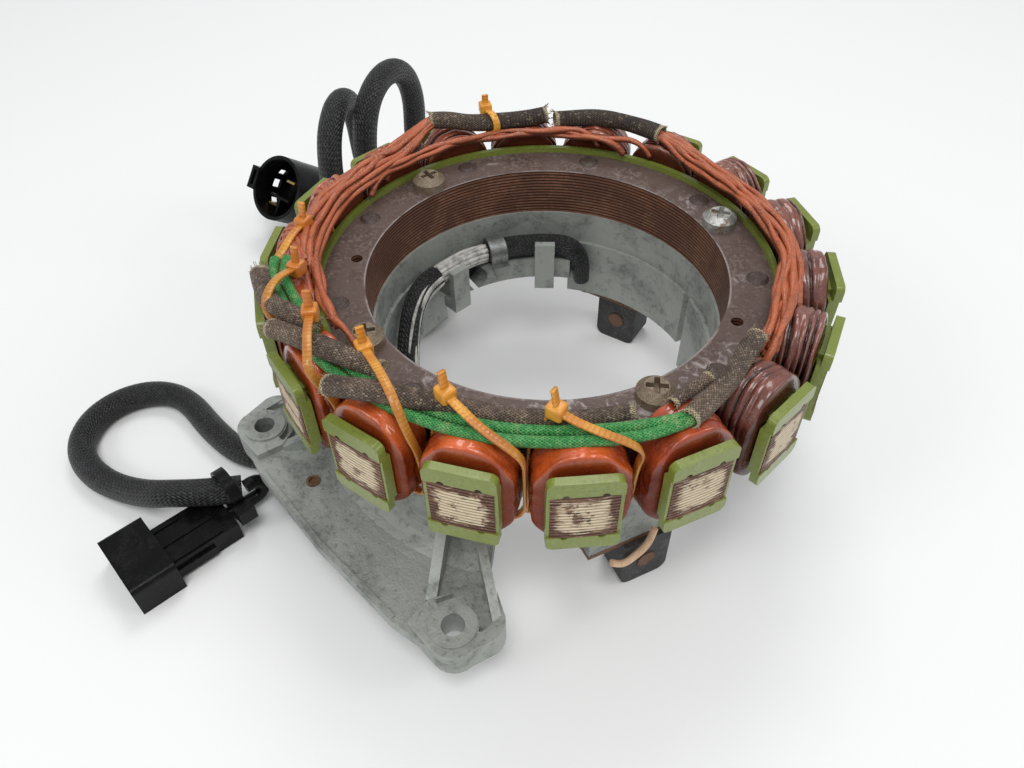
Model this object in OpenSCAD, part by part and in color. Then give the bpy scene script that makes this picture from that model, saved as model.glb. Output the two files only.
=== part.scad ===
// Wound stator: an outer-rotor generator core of eighteen wound poles, carried by a die-cast plate
// that also holds two ignition pickups and the two wiring harnesses.
// The axis of the bore is Z, and Z = 0 is the machined seat that the lamination stack stands on.

/* [Lamination stack] */

// Radius of the bore through the stack
bore_r = 53.6; // [48:0.1:58]
// Radial width of the yoke, from the bore to the necks of the poles
yoke_w = 13.4; // [12:0.1:15]
// Radial length of a pole, from the yoke to its tip
pole_l = 17; // [15:0.5:20]
// Height of the stack
stack_h = 16; // [10:0.5:30]
// Number of poles
poles = 18; // [12:3:18]
// Angle of the first pole from +X
pole_phase = 2; // [-10:0.5:10]
// Width of a pole's neck
neck_w = 10; // [6:0.5:12]
// Width of a pole's shoe
shoe_w = 16.4; // [14:0.2:17]
// Radial thickness of a pole's shoe
shoe_t = 2.6; // [1.5:0.1:4]

/* [Stack fasteners] */

// Distance from the yoke's outer edge to the rivets that hold the stack together
rivet_edge = 5.2; // [4:0.1:7]
// Diameter of a rivet's shank
rivet_d = 5; // [3:0.5:6]
// Diameter of a rivet's low head
rivet_head_d = 6.6; // [5:0.1:8]
// Distance from the bore to the screws that hold the stack to the plate
screw_edge = 5.4; // [5:0.1:6.5]
// Nominal diameter of those screws
screw_d = 6; // [4:0.5:6]
// Diameter of a pan head
screw_head_d = 10.5; // [8:0.1:11]
// Height of a pan head
screw_head_h = 4.4; // [2.5:0.1:5]
// Diameter of the two locating holes in the yoke
locating_d = 3.5; // [2:0.5:5]

/* [Insulators] */

// Height of an upper end plate over the stack
upper_cap_h = 5; // [4:0.1:8]
// Height of a lower end plate under the stack
lower_cap_h = 4.6; // [3:0.1:7]
// Width of an end plate
cap_w = 18.2; // [17:0.1:20]
// Radial thickness of an end plate
cap_t = 2.4; // [1.5:0.1:4]
// Thickness of the moulded bridge that a coil is wound on
bridge_t = 1.5; // [1:0.1:3]
// Width of the collar beside the yoke's outer edge
collar_w = 1.6; // [1:0.1:3]
// Height of that collar
collar_h = 1.9; // [1:0.1:4]
// Thickness of a slot liner beside the neck
liner_t = 0.8; // [0.4:0.1:1.2]

/* [Coils] */

// Number of turns side by side on a pole
turns = 5; // [3:1:8]
// Winding depth at the yoke end of a pole
wind_in = 4; // [2:0.1:5]
// Winding depth at the shoe end of a pole
wind_out = 5.2; // [3:0.1:6]
// Gap left between a coil and the insulator around it
coil_gap = 0.1; // [0.05:0.05:0.3]

/* [Plate] */

// How far the seat ring under the stack stands into the bore
seat_step = 0.8; // [0:0.1:2]
// How far the seat ring stays inside the yoke's outer edge
seat_margin = 3.5; // [2:0.1:6]
// Depth of the seat ring
seat_h = 12; // [8:0.5:16]
// How far the wall under the seat ring stands into the bore beyond it
wall_step = 1.2; // [0.5:0.1:3]
// Thickness of that wall
wall_t = 4.9; // [3:0.1:8]
// Depth of the skirt that the part stands on, under the seat
skirt_drop = 56; // [46:0.5:70]
// Depth of the pickup bosses under the seat
boss_drop = 34; // [28:0.5:40]
// Depth of the mounting face of the ears under the seat
ear_drop = 42; // [38:0.5:46]
// Distance between the two mounting holes
ear_spacing = 96.1; // [80:0.1:110]
// Distance of the mounting holes from the axis, along Y
ear_y = 80; // [74:0.5:90]
// Diameter of a mounting hole
ear_hole_d = 6.5; // [5:0.1:9]
// Height of an ear
ear_h = 9; // [6:0.5:14]
// Thickness of the flange between the ears
flange_t = 4; // [3:0.5:6]
// Diameter of the plug pressed into the flange
plug_d = 4.4; // [3:0.1:6]

/* [Pickups] */

// Width of a pickup's housing
pickup_w = 16; // [12:0.5:20]
// Radial depth of a pickup's housing
pickup_depth = 12; // [8:0.5:16]
// How far a pickup's inner face stands in from the outside of the wall
pickup_sink = 1; // [0:0.5:2]
// Thickness of a pickup's bracket
bracket_t = 2; // [1:0.5:3]
// Distance between the two screws of a bracket
bracket_pitch = 30; // [26:1:32]
// Diameter of a pickup's steel core
pickup_core_d = 6; // [4:0.5:8]

/* [Leads and harnesses] */

// Diameter of a braided sleeve on the windings
sleeve_d = 6; // [4:0.5:7]
// Diameter of the large braided sleeve
large_sleeve_d = 5.4; // [4:0.2:6]
// Diameter of the small braided sleeve
small_sleeve_d = 3.4; // [2:0.2:4]
// Diameter of a green lead
green_d = 2.9; // [2:0.1:3.2]
// Diameter of a varnished lead
lead_d = 2.4; // [1.5:0.1:2.5]
// Diameter of both outer harnesses
cord_d = 9; // [7:0.5:10]
// Diameter of the harness inside the plate
inner_d = 7.6; // [5:0.2:8]
// Width of a cable tie's strap
tie_w = 3; // [2:0.1:3.4]
// Thickness of a cable tie's strap
tie_t = 1.1; // [0.8:0.1:1.5]

/* [Connectors] */

// Width of the rectangular connector's shell
shell_w = 24.8; // [18:0.2:30]
// Height of the rectangular connector's shell
shell_h = 12; // [9:0.5:16]
// Length of the rectangular connector's shell
shell_l = 14; // [10:0.5:20]
// Wall of both connector shells
shell_wall = 1.5; // [1:0.1:2.5]
// Length of the rectangular connector's rear body
rear_l = 22; // [16:1:30]
// Radius of the round connector's shell
round_r = 14; // [11:0.5:17]
// Length of the round connector's shell
round_l = 20; // [14:0.5:26]
// Radius of the round connector's rear body
round_rear_r = 10.5; // [8:0.5:12]
// Length of the round connector's rear body
round_rear_l = 10; // [6:0.5:14]

/* [Hidden] */

$fn = 48;
// Small overlap that makes two shapes of one piece join
eps = 0.02;
// Clearance round a screw and round a rubber grommet
screw_play = 0.2;
pole_pitch = 360 / poles;
yoke_r = bore_r + yoke_w;
tip_r = yoke_r + pole_l;
rivet_pitch_r = yoke_r - rivet_edge;
screw_pitch_r = bore_r + screw_edge;
stack_mid = stack_h / 2;

// Angles of the rivets, screws and locating holes
rivet_turns = [for (k = [0 : poles / 2 - 1]) pole_phase + 2 * k * pole_pitch];
screw_turns = [69, 177.5, 260, 343.5];
locating_turns = [pole_phase + pole_pitch, pole_phase + 11 * pole_pitch];
locating_pitch_r = bore_r + 3.9;

// Pole parts, measured outwards along a pole
cap_in_r = tip_r - cap_t;
shoe_in_r = tip_r - shoe_t;
collar_in_r = yoke_r - collar_w / 2;
collar_out_r = collar_in_r + collar_w;
liner_lip = 0.9;
coil_in_r = collar_out_r + coil_gap;
coil_out_r = shoe_in_r - liner_lip - coil_gap;
coil_l = coil_out_r - coil_in_r;
corner_r = 1;
coil_half_w = neck_w / 2 + liner_t + coil_gap;
coil_half_h = stack_mid + bridge_t + coil_gap;
turn_pitch = coil_l / turns;
turn_r = turn_pitch / 2;
turn_dip = 0.2;
coil_top_in = stack_h + bridge_t + coil_gap + wind_in - turn_dip + turn_r;
coil_bottom = -bridge_t - coil_gap - wind_out + turn_dip - turn_r;
slot_gap_r = collar_out_r + 1.6;

// Levels of the plate under the seat
seat_in_r = bore_r - seat_step;
seat_out_r = yoke_r - seat_margin;
wall_in_r = seat_in_r - wall_step;
wall_out_r = wall_in_r + wall_t;
ledge_z = -seat_h + 1;
plug_turn = 256;
plug_pitch_r = ear_y + 2.5;
pad_z = -ear_drop + ear_h + 0.6;
boss_pad_r = 7;
flange_top = -ear_drop + ear_h - 2.5;
flange_bottom = flange_top - flange_t;
flange_edge_y = -ear_y - 12.5;
window_drop = 23;
shelf_top = -14;
shelf_bottom = -22;
shelf_in_r = wall_in_r - 7.6;
rest_z = -skirt_drop;

// Pickups, each by its angle
pickup_turns = [105, 343];
boss_w = bracket_pitch + 9;
boss_in_r = wall_in_r + 1.4;
boss_out_r = wall_out_r + 9.5;
bracket_z = -boss_drop - bracket_t;
pickup_core_z = (bracket_z + rest_z) / 2;
pickup_screw_d = 5;
pickup_screw_head_d = 8.4;
pickup_screw_head_h = 3.4;
pickup_screw_depth = 8;
bracket_mid_r = wall_out_r + 2.5;
pickup_in_r = wall_out_r - pickup_sink;

// Harness exits: angle and height of each grommet
signal_exit_turn = 238;
signal_exit_z = -49.5;
power_exit_turn = 170;
power_exit_z = -17.5;
grommet_d = cord_d;
grommet_flange_d = cord_d + 1.8;
grommet_out = 4;
cord_start_r = wall_out_r + grommet_out + 0.2;
inner_end_r = wall_in_r - 1;

// Connector places
signal_x = -40.5;
signal_mouth_y = -139;
signal_rear_y = signal_mouth_y + shell_l + rear_l;
signal_lead_d = 4.4;
signal_lead_z = rest_z + 4;
signal_cord_end = [signal_x, -96, -44.8];
power_mouth = [-161.3, -6.2, -28];
power_heading = 99.7;
power_tilt = 38.6;
power_axis = [cos(power_tilt) * cos(power_heading), cos(power_tilt) * sin(power_heading), -sin(power_tilt)];
power_rear = power_mouth + (round_l + round_rear_l) * power_axis;

// A point given by its radius and angle about the axis and its height
function polar(r, t, z) = [r * cos(t), r * sin(t), z];
function unit(v) = v / norm(v);
function tangent(p, i) = unit(p[min(i + 1, len(p) - 1)] - p[max(i - 1, 0)]);
// Side vectors carried along a route without twist
function carry(p, i, side) = i >= len(p) ? [] :
  let (d = tangent(p, i), n = unit(side - (side * d) * d)) concat([n], carry(p, i + 1, n));

// A point over the windings: outwards from the yoke's edge, by angle, and upwards from the tops of the coils
function winding(out, t, up) = polar(yoke_r + out, t, coil_top_in + up);

// Routes of the leads on the windings
lead_up = 1.8;
left_lead_route = [for (t = [170 : 7.5 : 230]) winding(4.3, t, lead_up)];
right_lead_route = [for (t = [10 : 9 : 100]) winding(3.2, t, lead_up)];
lead_step = 2.5;
back_long_route = [winding(8, 168, 6.75), winding(5.5, 163, 6.35), winding(3.8, 158, 4.95),
  winding(3.3, 152, 4.15), winding(4, 142, 3.95), winding(5.5, 136, 4.35)];
back_short_route = [winding(3, 133.5, 3.75), winding(5.5, 126, 3.75), winding(6.5, 119, 3.85),
  winding(6, 111, 3.75), winding(4.5, 103, 3.65)];
left_outer_route = [winding(15, 236.5, 4.05), winding(14, 240.5, 4.05), winding(13.2, 244.5, 4.05),
  winding(12.8, 248, 4.05)];
left_inner_route = [winding(14.5, 256, 3.95), winding(10.5, 262, 6.35), winding(6.5, 268, 7.15),
  winding(3, 275, 6.95), winding(0.8, 280, 6.35), winding(-0.2, 284.5, 5.95)];
front_route = [winding(12.5, 275.5, 4.15), winding(9.8, 280.5, 6.55), winding(6, 286, 7.25),
  winding(3, 290, 6.85), winding(0, 294, 4.85), winding(-0.2, 300, 2.55), winding(0.1, 308, 2.15),
  winding(0.3, 317, 2), winding(0.4, 326, 2), winding(0.6, 333, 2.05)];
// How much thinner the front sleeve is pressed at each of those points
front_thinner = [0, 0, 0, 0, 0.4, 1.4, 1.8, 2, 2, 2];
right_large_route = [winding(9, 341, 3.8), winding(6.4, 346.5, 3.5), winding(4, 353, 3.25),
  winding(1.3, 360, 2.95), winding(-0.1, 365, 2.75), winding(-0.8, 369.5, 2.55)];
right_small_route = [winding(2.1, 341, 2), winding(0.8, 345, 1.95), winding(-0.2, 349, 1.85),
  winding(-0.9, 352.5, 1.75)];
green_route = [winding(11.2, 234, 2.55), winding(9.8, 240, 2.45), winding(8.6, 248, 2.35),
  winding(8.4, 258, 2.35), winding(7.9, 268, 2.35), winding(7.6, 278, 2.35), winding(7.6, 289, 2.35),
  winding(8, 300, 2.35), winding(8.2, 312, 2.35), winding(8.6, 325, 2.35), winding(9.6, 339, 2.55)];
green_step = 3.3;

// Routes of the harness inside the plate
inner_gap = 0.6;
inner_r = wall_in_r - inner_d / 2 - inner_gap;
inner_z = -10;
inner_route = [for (t = [122 : 10 : 162]) polar(inner_r, t, inner_z)];
inner_tail_route = [polar(inner_r, 189, inner_z), polar(inner_r, 198, -10.5), polar(inner_r, 206, -14),
  polar(inner_r - 0.2, 213, -20), polar(inner_r - 0.4, 220, -28), polar(inner_r - 1, 227, -37),
  polar(inner_r - 2, 233, -45), polar(inner_r - 1.2, 237.6, -49.3),
  polar(inner_end_r, signal_exit_turn, signal_exit_z)];
strand_turns = [162.6, 168, 174, 180, 185, 188.4];
pickup_wire_route = [polar(68.9, 332.5, -39.5), polar(69.2, 335.5, -41), polar(69.2, 338.5, -39),
  polar(69, 341.5, -35.5), polar(67.6, 344, -31)];

// Routes of the two free cords, from their grommets to their connectors
signal_route = [polar(cord_start_r, signal_exit_turn, signal_exit_z),
  polar(cord_start_r + 3, signal_exit_turn, signal_exit_z), [-38, -61, -50.5], [-44, -71, -51.5],
  [-50.5, -79.5, -51.5], [-59, -86, -51.5], [-70, -88.5, -51.5], [-81, -89, -51.5], [-92, -89, -51.5],
  [-102, -91.7, -51.5], [-109.3, -99, -51.5], [-112, -109, -51.5], [-109.3, -119, -51.5],
  [-102, -126, -51.5], [-92, -128.5, -51.5], [-81, -127, -51.5], [-71, -123, -50.5],
  [-61.5, -118.5, -47.5], [-53, -113, -44], [-45.8, -105.5, -43.2], signal_cord_end];
power_route = [polar(cord_start_r, power_exit_turn, power_exit_z),
  polar(cord_start_r + 3, power_exit_turn, power_exit_z), [-69, 12.2, -18.8], [-76, 15, -22.5],
  [-84, 20, -31], [-91, 26, -40.5], [-98, 32, -48], [-106.5, 38, -51.5], [-115.5, 42.5, -49],
  [-122, 44.5, -42.5], [-124.8, 44.8, -33], [-124.8, 44.5, -18], [-123, 43.5, -3], [-121.5, 43, 9.5],
  [-119.2, 38, 22.8], [-113.7, 25.7, 28.5], [-108.2, 13.4, 22.8], [-105.5, 8, 9.5], [-105.5, 8, -6],
  [-103.5, 11, -23], [-97.5, 15, -38], [-88.5, 16.5, -48], [-77.5, 11.5, -51.5], [-72, -1.5, -51.5],
  [-77.5, -14.5, -51.5], [-88.5, -20, -48], [-97.5, -18, -38], [-103, -12.5, -23], [-105, -9, -8],
  [-105, -8.5, 3.5], [-108.3, -4.5, 16.8], [-116.5, 5.5, 22.5], [-124.7, 15.5, 16.8], [-128, 19.5, 3.5],
  [-130, 21.5, -12], [-131, 26, -27.5], [-132, 33.5, -39.5], [-136.5, 43.5, -47.5], [-146.5, 50, -51],
  [-157.5, 48.5, -51.5], [-164.5, 39.5, -51.5], [-166.3, 27, -51.4], power_rear + 2.5 * power_axis,
  power_rear + 0.2 * power_axis];

// Cable ties on the windings: the pole each goes round, the radius of its inner run over the leads,
// and the points where it is lifted over sleeves
tie_poles = [11, 12, 13, 14, 15, 16];
tie_tops = [slot_gap_r, slot_gap_r, slot_gap_r, yoke_r - 5.4, yoke_r - 6, yoke_r - 5.4];
tie_lifts = [[winding(7, 224.5, 6.95)], [winding(10.8, 248.5, 8.75)],
  [winding(8.5, 263, 11.25), winding(11.5, 267.5, 9.15)],
  [winding(-0.5, 277, 11.15), winding(8.2, 286.2, 11.75)], [winding(0, 297, 8.75)], []];
tie_low = coil_bottom - 1.2;
tie_out_r = coil_out_r - 1.6;

// Moves a shape to an angle about the axis
module at(t) {
  rotate([0, 0, t]) children();
}

// A ring, or a part of one, by its radii, levels and angles
module sector(r0, r1, z0, z1, t0, t1) {
  at(t0) rotate_extrude(angle = t1 - t0, $fn = 96) translate([r0, z0]) square([r1 - r0, z1 - z0]);
}

// A round tube that follows a route, with one diameter or one for each point
module tube(p, d, sides = 10) {
  first = tangent(p, 0);
  across = carry(p, 0, abs(first.z) < 0.9 ? [0, 0, 1] : [1, 0, 0]);
  last = len(p) - 1;
  points = [for (i = [0 : last], k = [0 : sides - 1])
    let (a = across[i], b = cross(tangent(p, i), a), w = 360 * k / sides, r = (is_list(d) ? d[i] : d) / 2)
      p[i] + r * (cos(w) * a + sin(w) * b)];
  faces = concat([[for (k = [0 : sides - 1]) k], [for (k = [0 : sides - 1]) last * sides + sides - 1 - k]],
    [for (i = [0 : last - 1], k = [0 : sides - 1]) let (n = (k + 1) % sides)
      [i * sides + k, (i + 1) * sides + k, (i + 1) * sides + n, i * sides + n]]);
  polyhedron(points, faces);
}

// A route moved outwards from the axis and upwards
function shifted(p, out, up)
  = [for (v = p) let (r = norm([v.x, v.y])) [v.x, v.y, v.z] + out / r * [v.x, v.y, 0] + [0, 0, up]];

// A flat strap between two points, its width level, or at a given angle where it stands upright
module strap(p, q, t = 0, w = tie_w) {
  d = q - p;
  flat = norm([d.x, d.y]);
  heading = flat < 0.01 ? t : atan2(d.y, d.x);
  translate(p) rotate([0, acos(d.z / norm(d)), heading])
    translate([-tie_t / 2, -w / 2, -tie_t / 2]) cube([tie_t, w, norm(d) + tie_t]);
}

// A rectangle that stands on its base line, with two round upper corners
module rounded_top(w, h, r) {
  translate([-w / 2, 0]) square([w, h - r]);
  translate([r - w / 2, 0]) square([w - 2 * r, h]);
  for (s = [-1, 1]) translate([s * (w / 2 - r), h - r]) circle(r = r);
}

// A slot with round ends, along Y
module stadium(r, gap) {
  for (s = [-1, 1]) translate([0, s * gap / 2]) circle(r = r);
  square([2 * r, gap], center = true);
}

module core_section() {
  difference() {
    union() {
      circle(r = yoke_r, $fn = 96);
      intersection() {
        circle(r = tip_r, $fn = 96);
        for (k = [0 : poles - 1]) rotate(pole_phase + k * pole_pitch) {
          translate([bore_r, -neck_w / 2]) square([tip_r - bore_r + 1, neck_w]);
          translate([shoe_in_r, -shoe_w / 2]) square([shoe_t + 1, shoe_w]);
        }
      }
    }
    circle(r = bore_r, $fn = 96);
    for (t = rivet_turns) rotate(t) translate([rivet_pitch_r, 0]) circle(d = rivet_d);
    for (t = screw_turns) rotate(t) translate([screw_pitch_r, 0]) circle(d = screw_d + screw_play);
    for (t = locating_turns) rotate(t) translate([locating_pitch_r, 0]) circle(d = locating_d);
  }
}

module stator_core() {
  color("#5a4640") linear_extrude(stack_h) core_section();
}

module core_rivets() {
  head_h = 0.8;
  color("#6a5650") for (t = rivet_turns) at(t) translate([rivet_pitch_r, 0, 0]) {
    cylinder(d = rivet_d, h = stack_h);
    translate([0, 0, stack_h]) cylinder(d1 = rivet_head_d, d2 = rivet_head_d - 2, h = head_h);
  }
}

// A pan head screw with a cross recess, standing on Z = 0, its shank below
module pan_screw(d, head_d, head_h, shank) {
  recess_w = d / 4;
  recess_l = head_d * 0.55;
  recess_depth = head_h / 2;
  difference() {
    union() {
      cylinder(d = head_d, h = head_h * 0.6);
      translate([0, 0, head_h * 0.6 - eps])
        cylinder(d1 = head_d, d2 = head_d * 0.62, h = head_h * 0.4 + eps);
    }
    for (s = [0, 90]) rotate(s) translate([-recess_l / 2, -recess_w / 2, head_h - recess_depth])
      cube([recess_l, recess_w, head_h]);
  }
  translate([0, 0, -shank]) cylinder(d = d, h = shank + eps);
}

module core_screws() {
  color("#9a8f84") for (t = screw_turns) at(t) translate([screw_pitch_r, 0, stack_h])
    rotate(2 * t) pan_screw(screw_d, screw_head_d, screw_head_h, stack_h + seat_h - 1);
}

// One moulded insulator, standing on the face of the stack at Z = 0
module insulator(cap_h) {
  cap_corner = 2;
  notch_r = 0.9;
  notch_x = 4.6;
  bridge_w = neck_w + 0.6;
  difference() {
    cylinder(r = collar_out_r, h = collar_h, $fn = 96);
    translate([0, 0, -1]) cylinder(r = collar_in_r, h = collar_h + 2, $fn = 96);
  }
  for (k = [0 : poles - 1]) at(pole_phase + k * pole_pitch) {
    translate([collar_out_r - 0.4, -bridge_w / 2, 0])
      cube([cap_in_r - collar_out_r + 0.8, bridge_w, bridge_t]);
    translate([cap_in_r, 0, 0]) rotate([90, 0, 90]) linear_extrude(cap_t) difference() {
      rounded_top(cap_w, cap_h, cap_corner);
      for (s = [-1, 1]) translate([s * notch_x, 0]) circle(r = notch_r);
    }
  }
}

module upper_insulator() {
  color("#7d9a4b") translate([0, 0, stack_h]) insulator(upper_cap_h);
}

module lower_insulator() {
  color("#7d9a4b") mirror([0, 0, 1]) insulator(lower_cap_h);
}

// Outline of the liner on one side of a pole: along the neck, behind the shoe and beside it
module liner_section() {
  polygon([[collar_out_r, neck_w / 2], [shoe_in_r, neck_w / 2], [shoe_in_r, shoe_w / 2],
    [tip_r - 0.6, shoe_w / 2],
    [tip_r - 0.6, cap_w / 2], [shoe_in_r - liner_lip, cap_w / 2],
      [shoe_in_r - liner_lip, neck_w / 2 + liner_t],
    [collar_out_r, neck_w / 2 + liner_t]]);
}

module slot_liners() {
  color("#86a355") for (k = [0 : poles - 1], s = [0, 1]) at(pole_phase + k * pole_pitch)
    mirror([0, s, 0]) linear_extrude(stack_h) liner_section();
}

// Section of a coil beside its window: a tapered pack with one ridge for each turn
module winding_section() {
  polygon([[corner_r, 0], [corner_r + wind_in, 0], [corner_r + wind_out, coil_l], [corner_r, coil_l]]);
  for (i = [0 : turns - 1]) let (f = (i + 0.5) / turns)
    translate([corner_r + wind_in + f * (wind_out - wind_in) - turn_dip, f * coil_l])
      circle(r = turn_r, $fn = 24);
}

// One coil round a pole: the section carried along four sides and four round corners
module coil() {
  translate([coil_in_r, 0, stack_mid]) rotate([0, 90, 0]) for (k = [0 : 3])
    let (a = (k % 2 == 0 ? coil_half_h : coil_half_w) - corner_r,
      b = (k % 2 == 0 ? coil_half_w : coil_half_h) - corner_r)
    rotate(90 * k) translate([a, b, 0]) {
      rotate([90, 0, 0]) linear_extrude(2 * b) winding_section();
      rotate_extrude(angle = 90) winding_section();
    }
}

// The coils of one phase sit on every third pole
module phase(first) {
  color("#a0552f") for (k = [first : 3 : poles - 1]) at(pole_phase + k * pole_pitch) coil();
}

module left_lead_bundle() {
  color("#b8623f") {
    for (i = [0, 1]) tube(shifted(left_lead_route, i * lead_step, 0), lead_d, 8);
    tube(shifted(left_lead_route, lead_step / 2, 2.2), lead_d, 8);
  }
}

module right_lead_bundle() {
  color("#a85a3c") {
    for (i = [0, 1]) tube(shifted(right_lead_route, i * lead_step, 0), lead_d, 8);
    tube(shifted(right_lead_route, lead_step / 2, 2.2), lead_d, 8);
  }
}

module sleeve(route, d = sleeve_d) {
  color("#4b3e37") tube(route, d);
}

module green_lead(inwards) {
  color("#1f8a55") tube(shifted(green_route, -inwards, 0), green_d, 8);
}

// The head of a cable tie, standing on a strap, with the cut end of the tail over it
module tie_head() {
  head = 5.6;
  translate([-head / 2, -head / 2, 0]) cube([head, head, 4.4]);
  translate([-tie_t / 2, -tie_w / 2, 4]) cube([tie_t, tie_w, 3]);
}

// A tie round one pole: up the slot before it, over the leads, down the slot after it and back underneath
module winding_tie(pole, top_r, lifts) {
  t0 = pole_phase + (pole - 0.5) * pole_pitch;
  t1 = t0 + pole_pitch;
  step_z = coil_top_in - 2.25;
  top_z = coil_top_in + 7.95;
  low_in = polar(slot_gap_r, t0, tie_low);
  low_out = polar(tie_out_r, t1, tie_low);
  high_in = polar(top_r, t0, top_z);
  high_out = polar(tie_out_r, t1, coil_top_in + 3.95);
  step_in = polar(slot_gap_r, t0, step_z);
  step_out = polar(top_r, t0, step_z);
  strap(low_in, step_in, t0 + 90);
  if (top_r < slot_gap_r) strap(step_in, step_out);
  strap(step_out, high_in, t0);
  over = concat([high_in], lifts, [high_out]);
  for (i = [0 : len(over) - 2]) strap(over[i], over[i + 1]);
  strap(low_out, high_out, t1 + 90);
  strap(low_out, low_in);
  translate(high_in) at(atan2(over[1].y - over[0].y, over[1].x - over[0].x)) translate([0, 0, -2.6])
    tie_head();
}

module cable_ties() {
  color("#e0a040") for (i = [0 : len(tie_poles) - 1]) winding_tie(tie_poles[i], tie_tops[i], tie_lifts[i]);
}

// A tie round the long sleeve at the back
module back_tie() {
  p = back_long_route[3];
  d = unit(back_long_route[4] - back_long_route[2]);
  color("#e0a040") translate(p) at(atan2(d.y, d.x)) rotate([0, 90, 0]) {
    difference() {
      cylinder(d = sleeve_d + 2 * tie_t + 0.2, h = tie_w, center = true);
      cylinder(d = sleeve_d + 0.2, h = tie_w + 1, center = true);
    }
    translate([-sleeve_d / 2 - tie_t, 0, 0]) rotate([0, -90, 0]) tie_head();
  }
}

// Profile of the dished web from the seat ring down to the flange, with a round fillet at its foot
module web_section() {
  fillet_r = 10;
  foot_r = 78;
  polygon(concat([[wall_out_r - 1, ledge_z + 3], [seat_out_r, ledge_z + 1]],
    [for (w = [180 : 15 : 270]) [foot_r + fillet_r * cos(w), flange_top + fillet_r + fillet_r * sin(w)]],
    [[foot_r, flange_bottom], [foot_r - 5, flange_bottom]],
    [for (w = [250 : -14 : 180])
      [foot_r + 1 + (fillet_r + 4) * cos(w), flange_bottom + fillet_r + 4 + (fillet_r + 4) * sin(w)]],
    [[wall_out_r - 1, ledge_z - 8]]));
}

// Outline of the flange: a slightly bowed lower edge and flanks that run from the ears back to the web
module flange_outline() {
  x = ear_spacing / 2;
  difference() {
    polygon([[-x - 2, -ear_y - 7.5], [-x + 14, flange_edge_y + 1.8], [0, flange_edge_y + 0.4],
      [x - 14, flange_edge_y + 1.8],
      [x + 2, -ear_y - 7.5], [x + 9, -ear_y + 4], [x + 6, -ear_y + 12], [x - 10, -ear_y + 20.3],
        [x - 15, -ear_y + 24],
      [-x + 15, -ear_y + 24], [-x + 10, -ear_y + 20.3], [-x - 6, -ear_y + 12], [-x - 9, -ear_y + 4]]);
    circle(r = 72, $fn = 96);
  }
}

// A low bead along the lower edge of the flange
module edge_bead() {
  x = ear_spacing / 2;
  w = 1.2;
  edge = [[-x + 14, flange_edge_y + 2.2], [0, flange_edge_y + 0.8], [x - 14, flange_edge_y + 2.2]];
  translate([0, 0, flange_top - eps]) linear_extrude(0.8)
    polygon(concat(edge, [for (i = [2 : -1 : 0]) edge[i] + [0, w]]));
}

// A gusset from an ear to the web, between two points of the plan
module gusset(p, q, z0, z1, t = 3) {
  d = q - p;
  translate([p.x, p.y, 0]) rotate(atan2(d.y, d.x)) translate([0, t / 2, 0]) rotate([90, 0, 0])
    linear_extrude(t)
    polygon([[0, flange_top - 1], [0, z0], [norm(d), z1], [norm(d), flange_top - 1]]);
}

// Plan of an ear about its hole: the rounded corner of the flange, stepped off towards the middle,
// with a pocket between the boss and the web
module ear_outline() {
  near_r = 7;
  far_r = 6.5;
  difference() {
    polygon(concat([[-10.6, 0.4], [-9.2, -8.2]],
      [for (w = [-90 : 15 : 0]) [1.6 + near_r * cos(w), -1.2 + near_r * sin(w)]],
      [for (w = [0 : 15 : 75]) [3.9 + far_r * cos(w), 6.6 + far_r * sin(w)]],
      [[-2, 16.5]]));
    difference() {
      polygon([[-9.4, 1.2], [-3, 18], [6.5, 10.5], [6.5, 4.5], [0, 0]]);
      circle(r = boss_pad_r);
    }
  }
}

// One ear with its boss and its two gussets; the ear on the other side is its mirror image
module ear() {
  x = ear_spacing / 2;
  translate([x, -ear_y, -ear_drop]) linear_extrude(ear_h) ear_outline();
  translate([x, -ear_y, -ear_drop]) cylinder(r = boss_pad_r - 0.4, h = pad_z + ear_drop);
  gusset([x - 10.2, 0.6 - ear_y], [x - 22, 15.2 - ear_y], pad_z - 1.2, -24);
  gusset([x + 7, 9.6 - ear_y], [x - 9.5, 18.8 - ear_y], pad_z - 1.2, -25, 2.6);
}

// A block on the wall that carries a pickup's bracket
module pickup_boss() {
  translate([boss_in_r, -boss_w / 2, -boss_drop])
    cube([boss_out_r - boss_in_r, boss_w, boss_drop + ledge_z]);
}

// A finger on the shelf that keeps the inner harness against the wall
module harness_finger(top) {
  finger_w = 7;
  finger_t = 2.4;
  finger_r = inner_r - inner_d / 2 - finger_t - 0.2;
  translate([finger_r, -finger_w / 2, shelf_bottom - 3]) cube([finger_t, finger_w, top - shelf_bottom + 3]);
  translate([finger_r, -finger_w / 2, shelf_bottom - 3]) cube([shelf_in_r - finger_r + 3, finger_w, 4]);
}

// The walls under the seat ring differ a little in thickness from one sector to the next
module plate_walls() {
  sector(seat_in_r, seat_out_r, -seat_h, 0, 0, 360);
  sector(wall_in_r, wall_out_r, -ear_drop, ledge_z, 20, 67);
  sector(wall_in_r + 0.2, wall_out_r - 0.2, -boss_drop + 0.5, ledge_z - 0.4, 70.5, 126);
  sector(wall_in_r + 0.2, wall_out_r - 0.2, -boss_drop + 0.5, ledge_z - 0.4, 323, 381);
  sector(wall_in_r, wall_out_r, -window_drop, ledge_z, 125, 181);
  sector(wall_in_r + 0.2, wall_out_r - 0.2, -ear_drop + 5, ledge_z - 0.4, 180, 204);
  sector(wall_in_r, wall_out_r, rest_z, ledge_z, 203, 291);
  sector(shelf_in_r, wall_in_r + 1, shelf_bottom, shelf_top, 124, 183);
}

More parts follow.
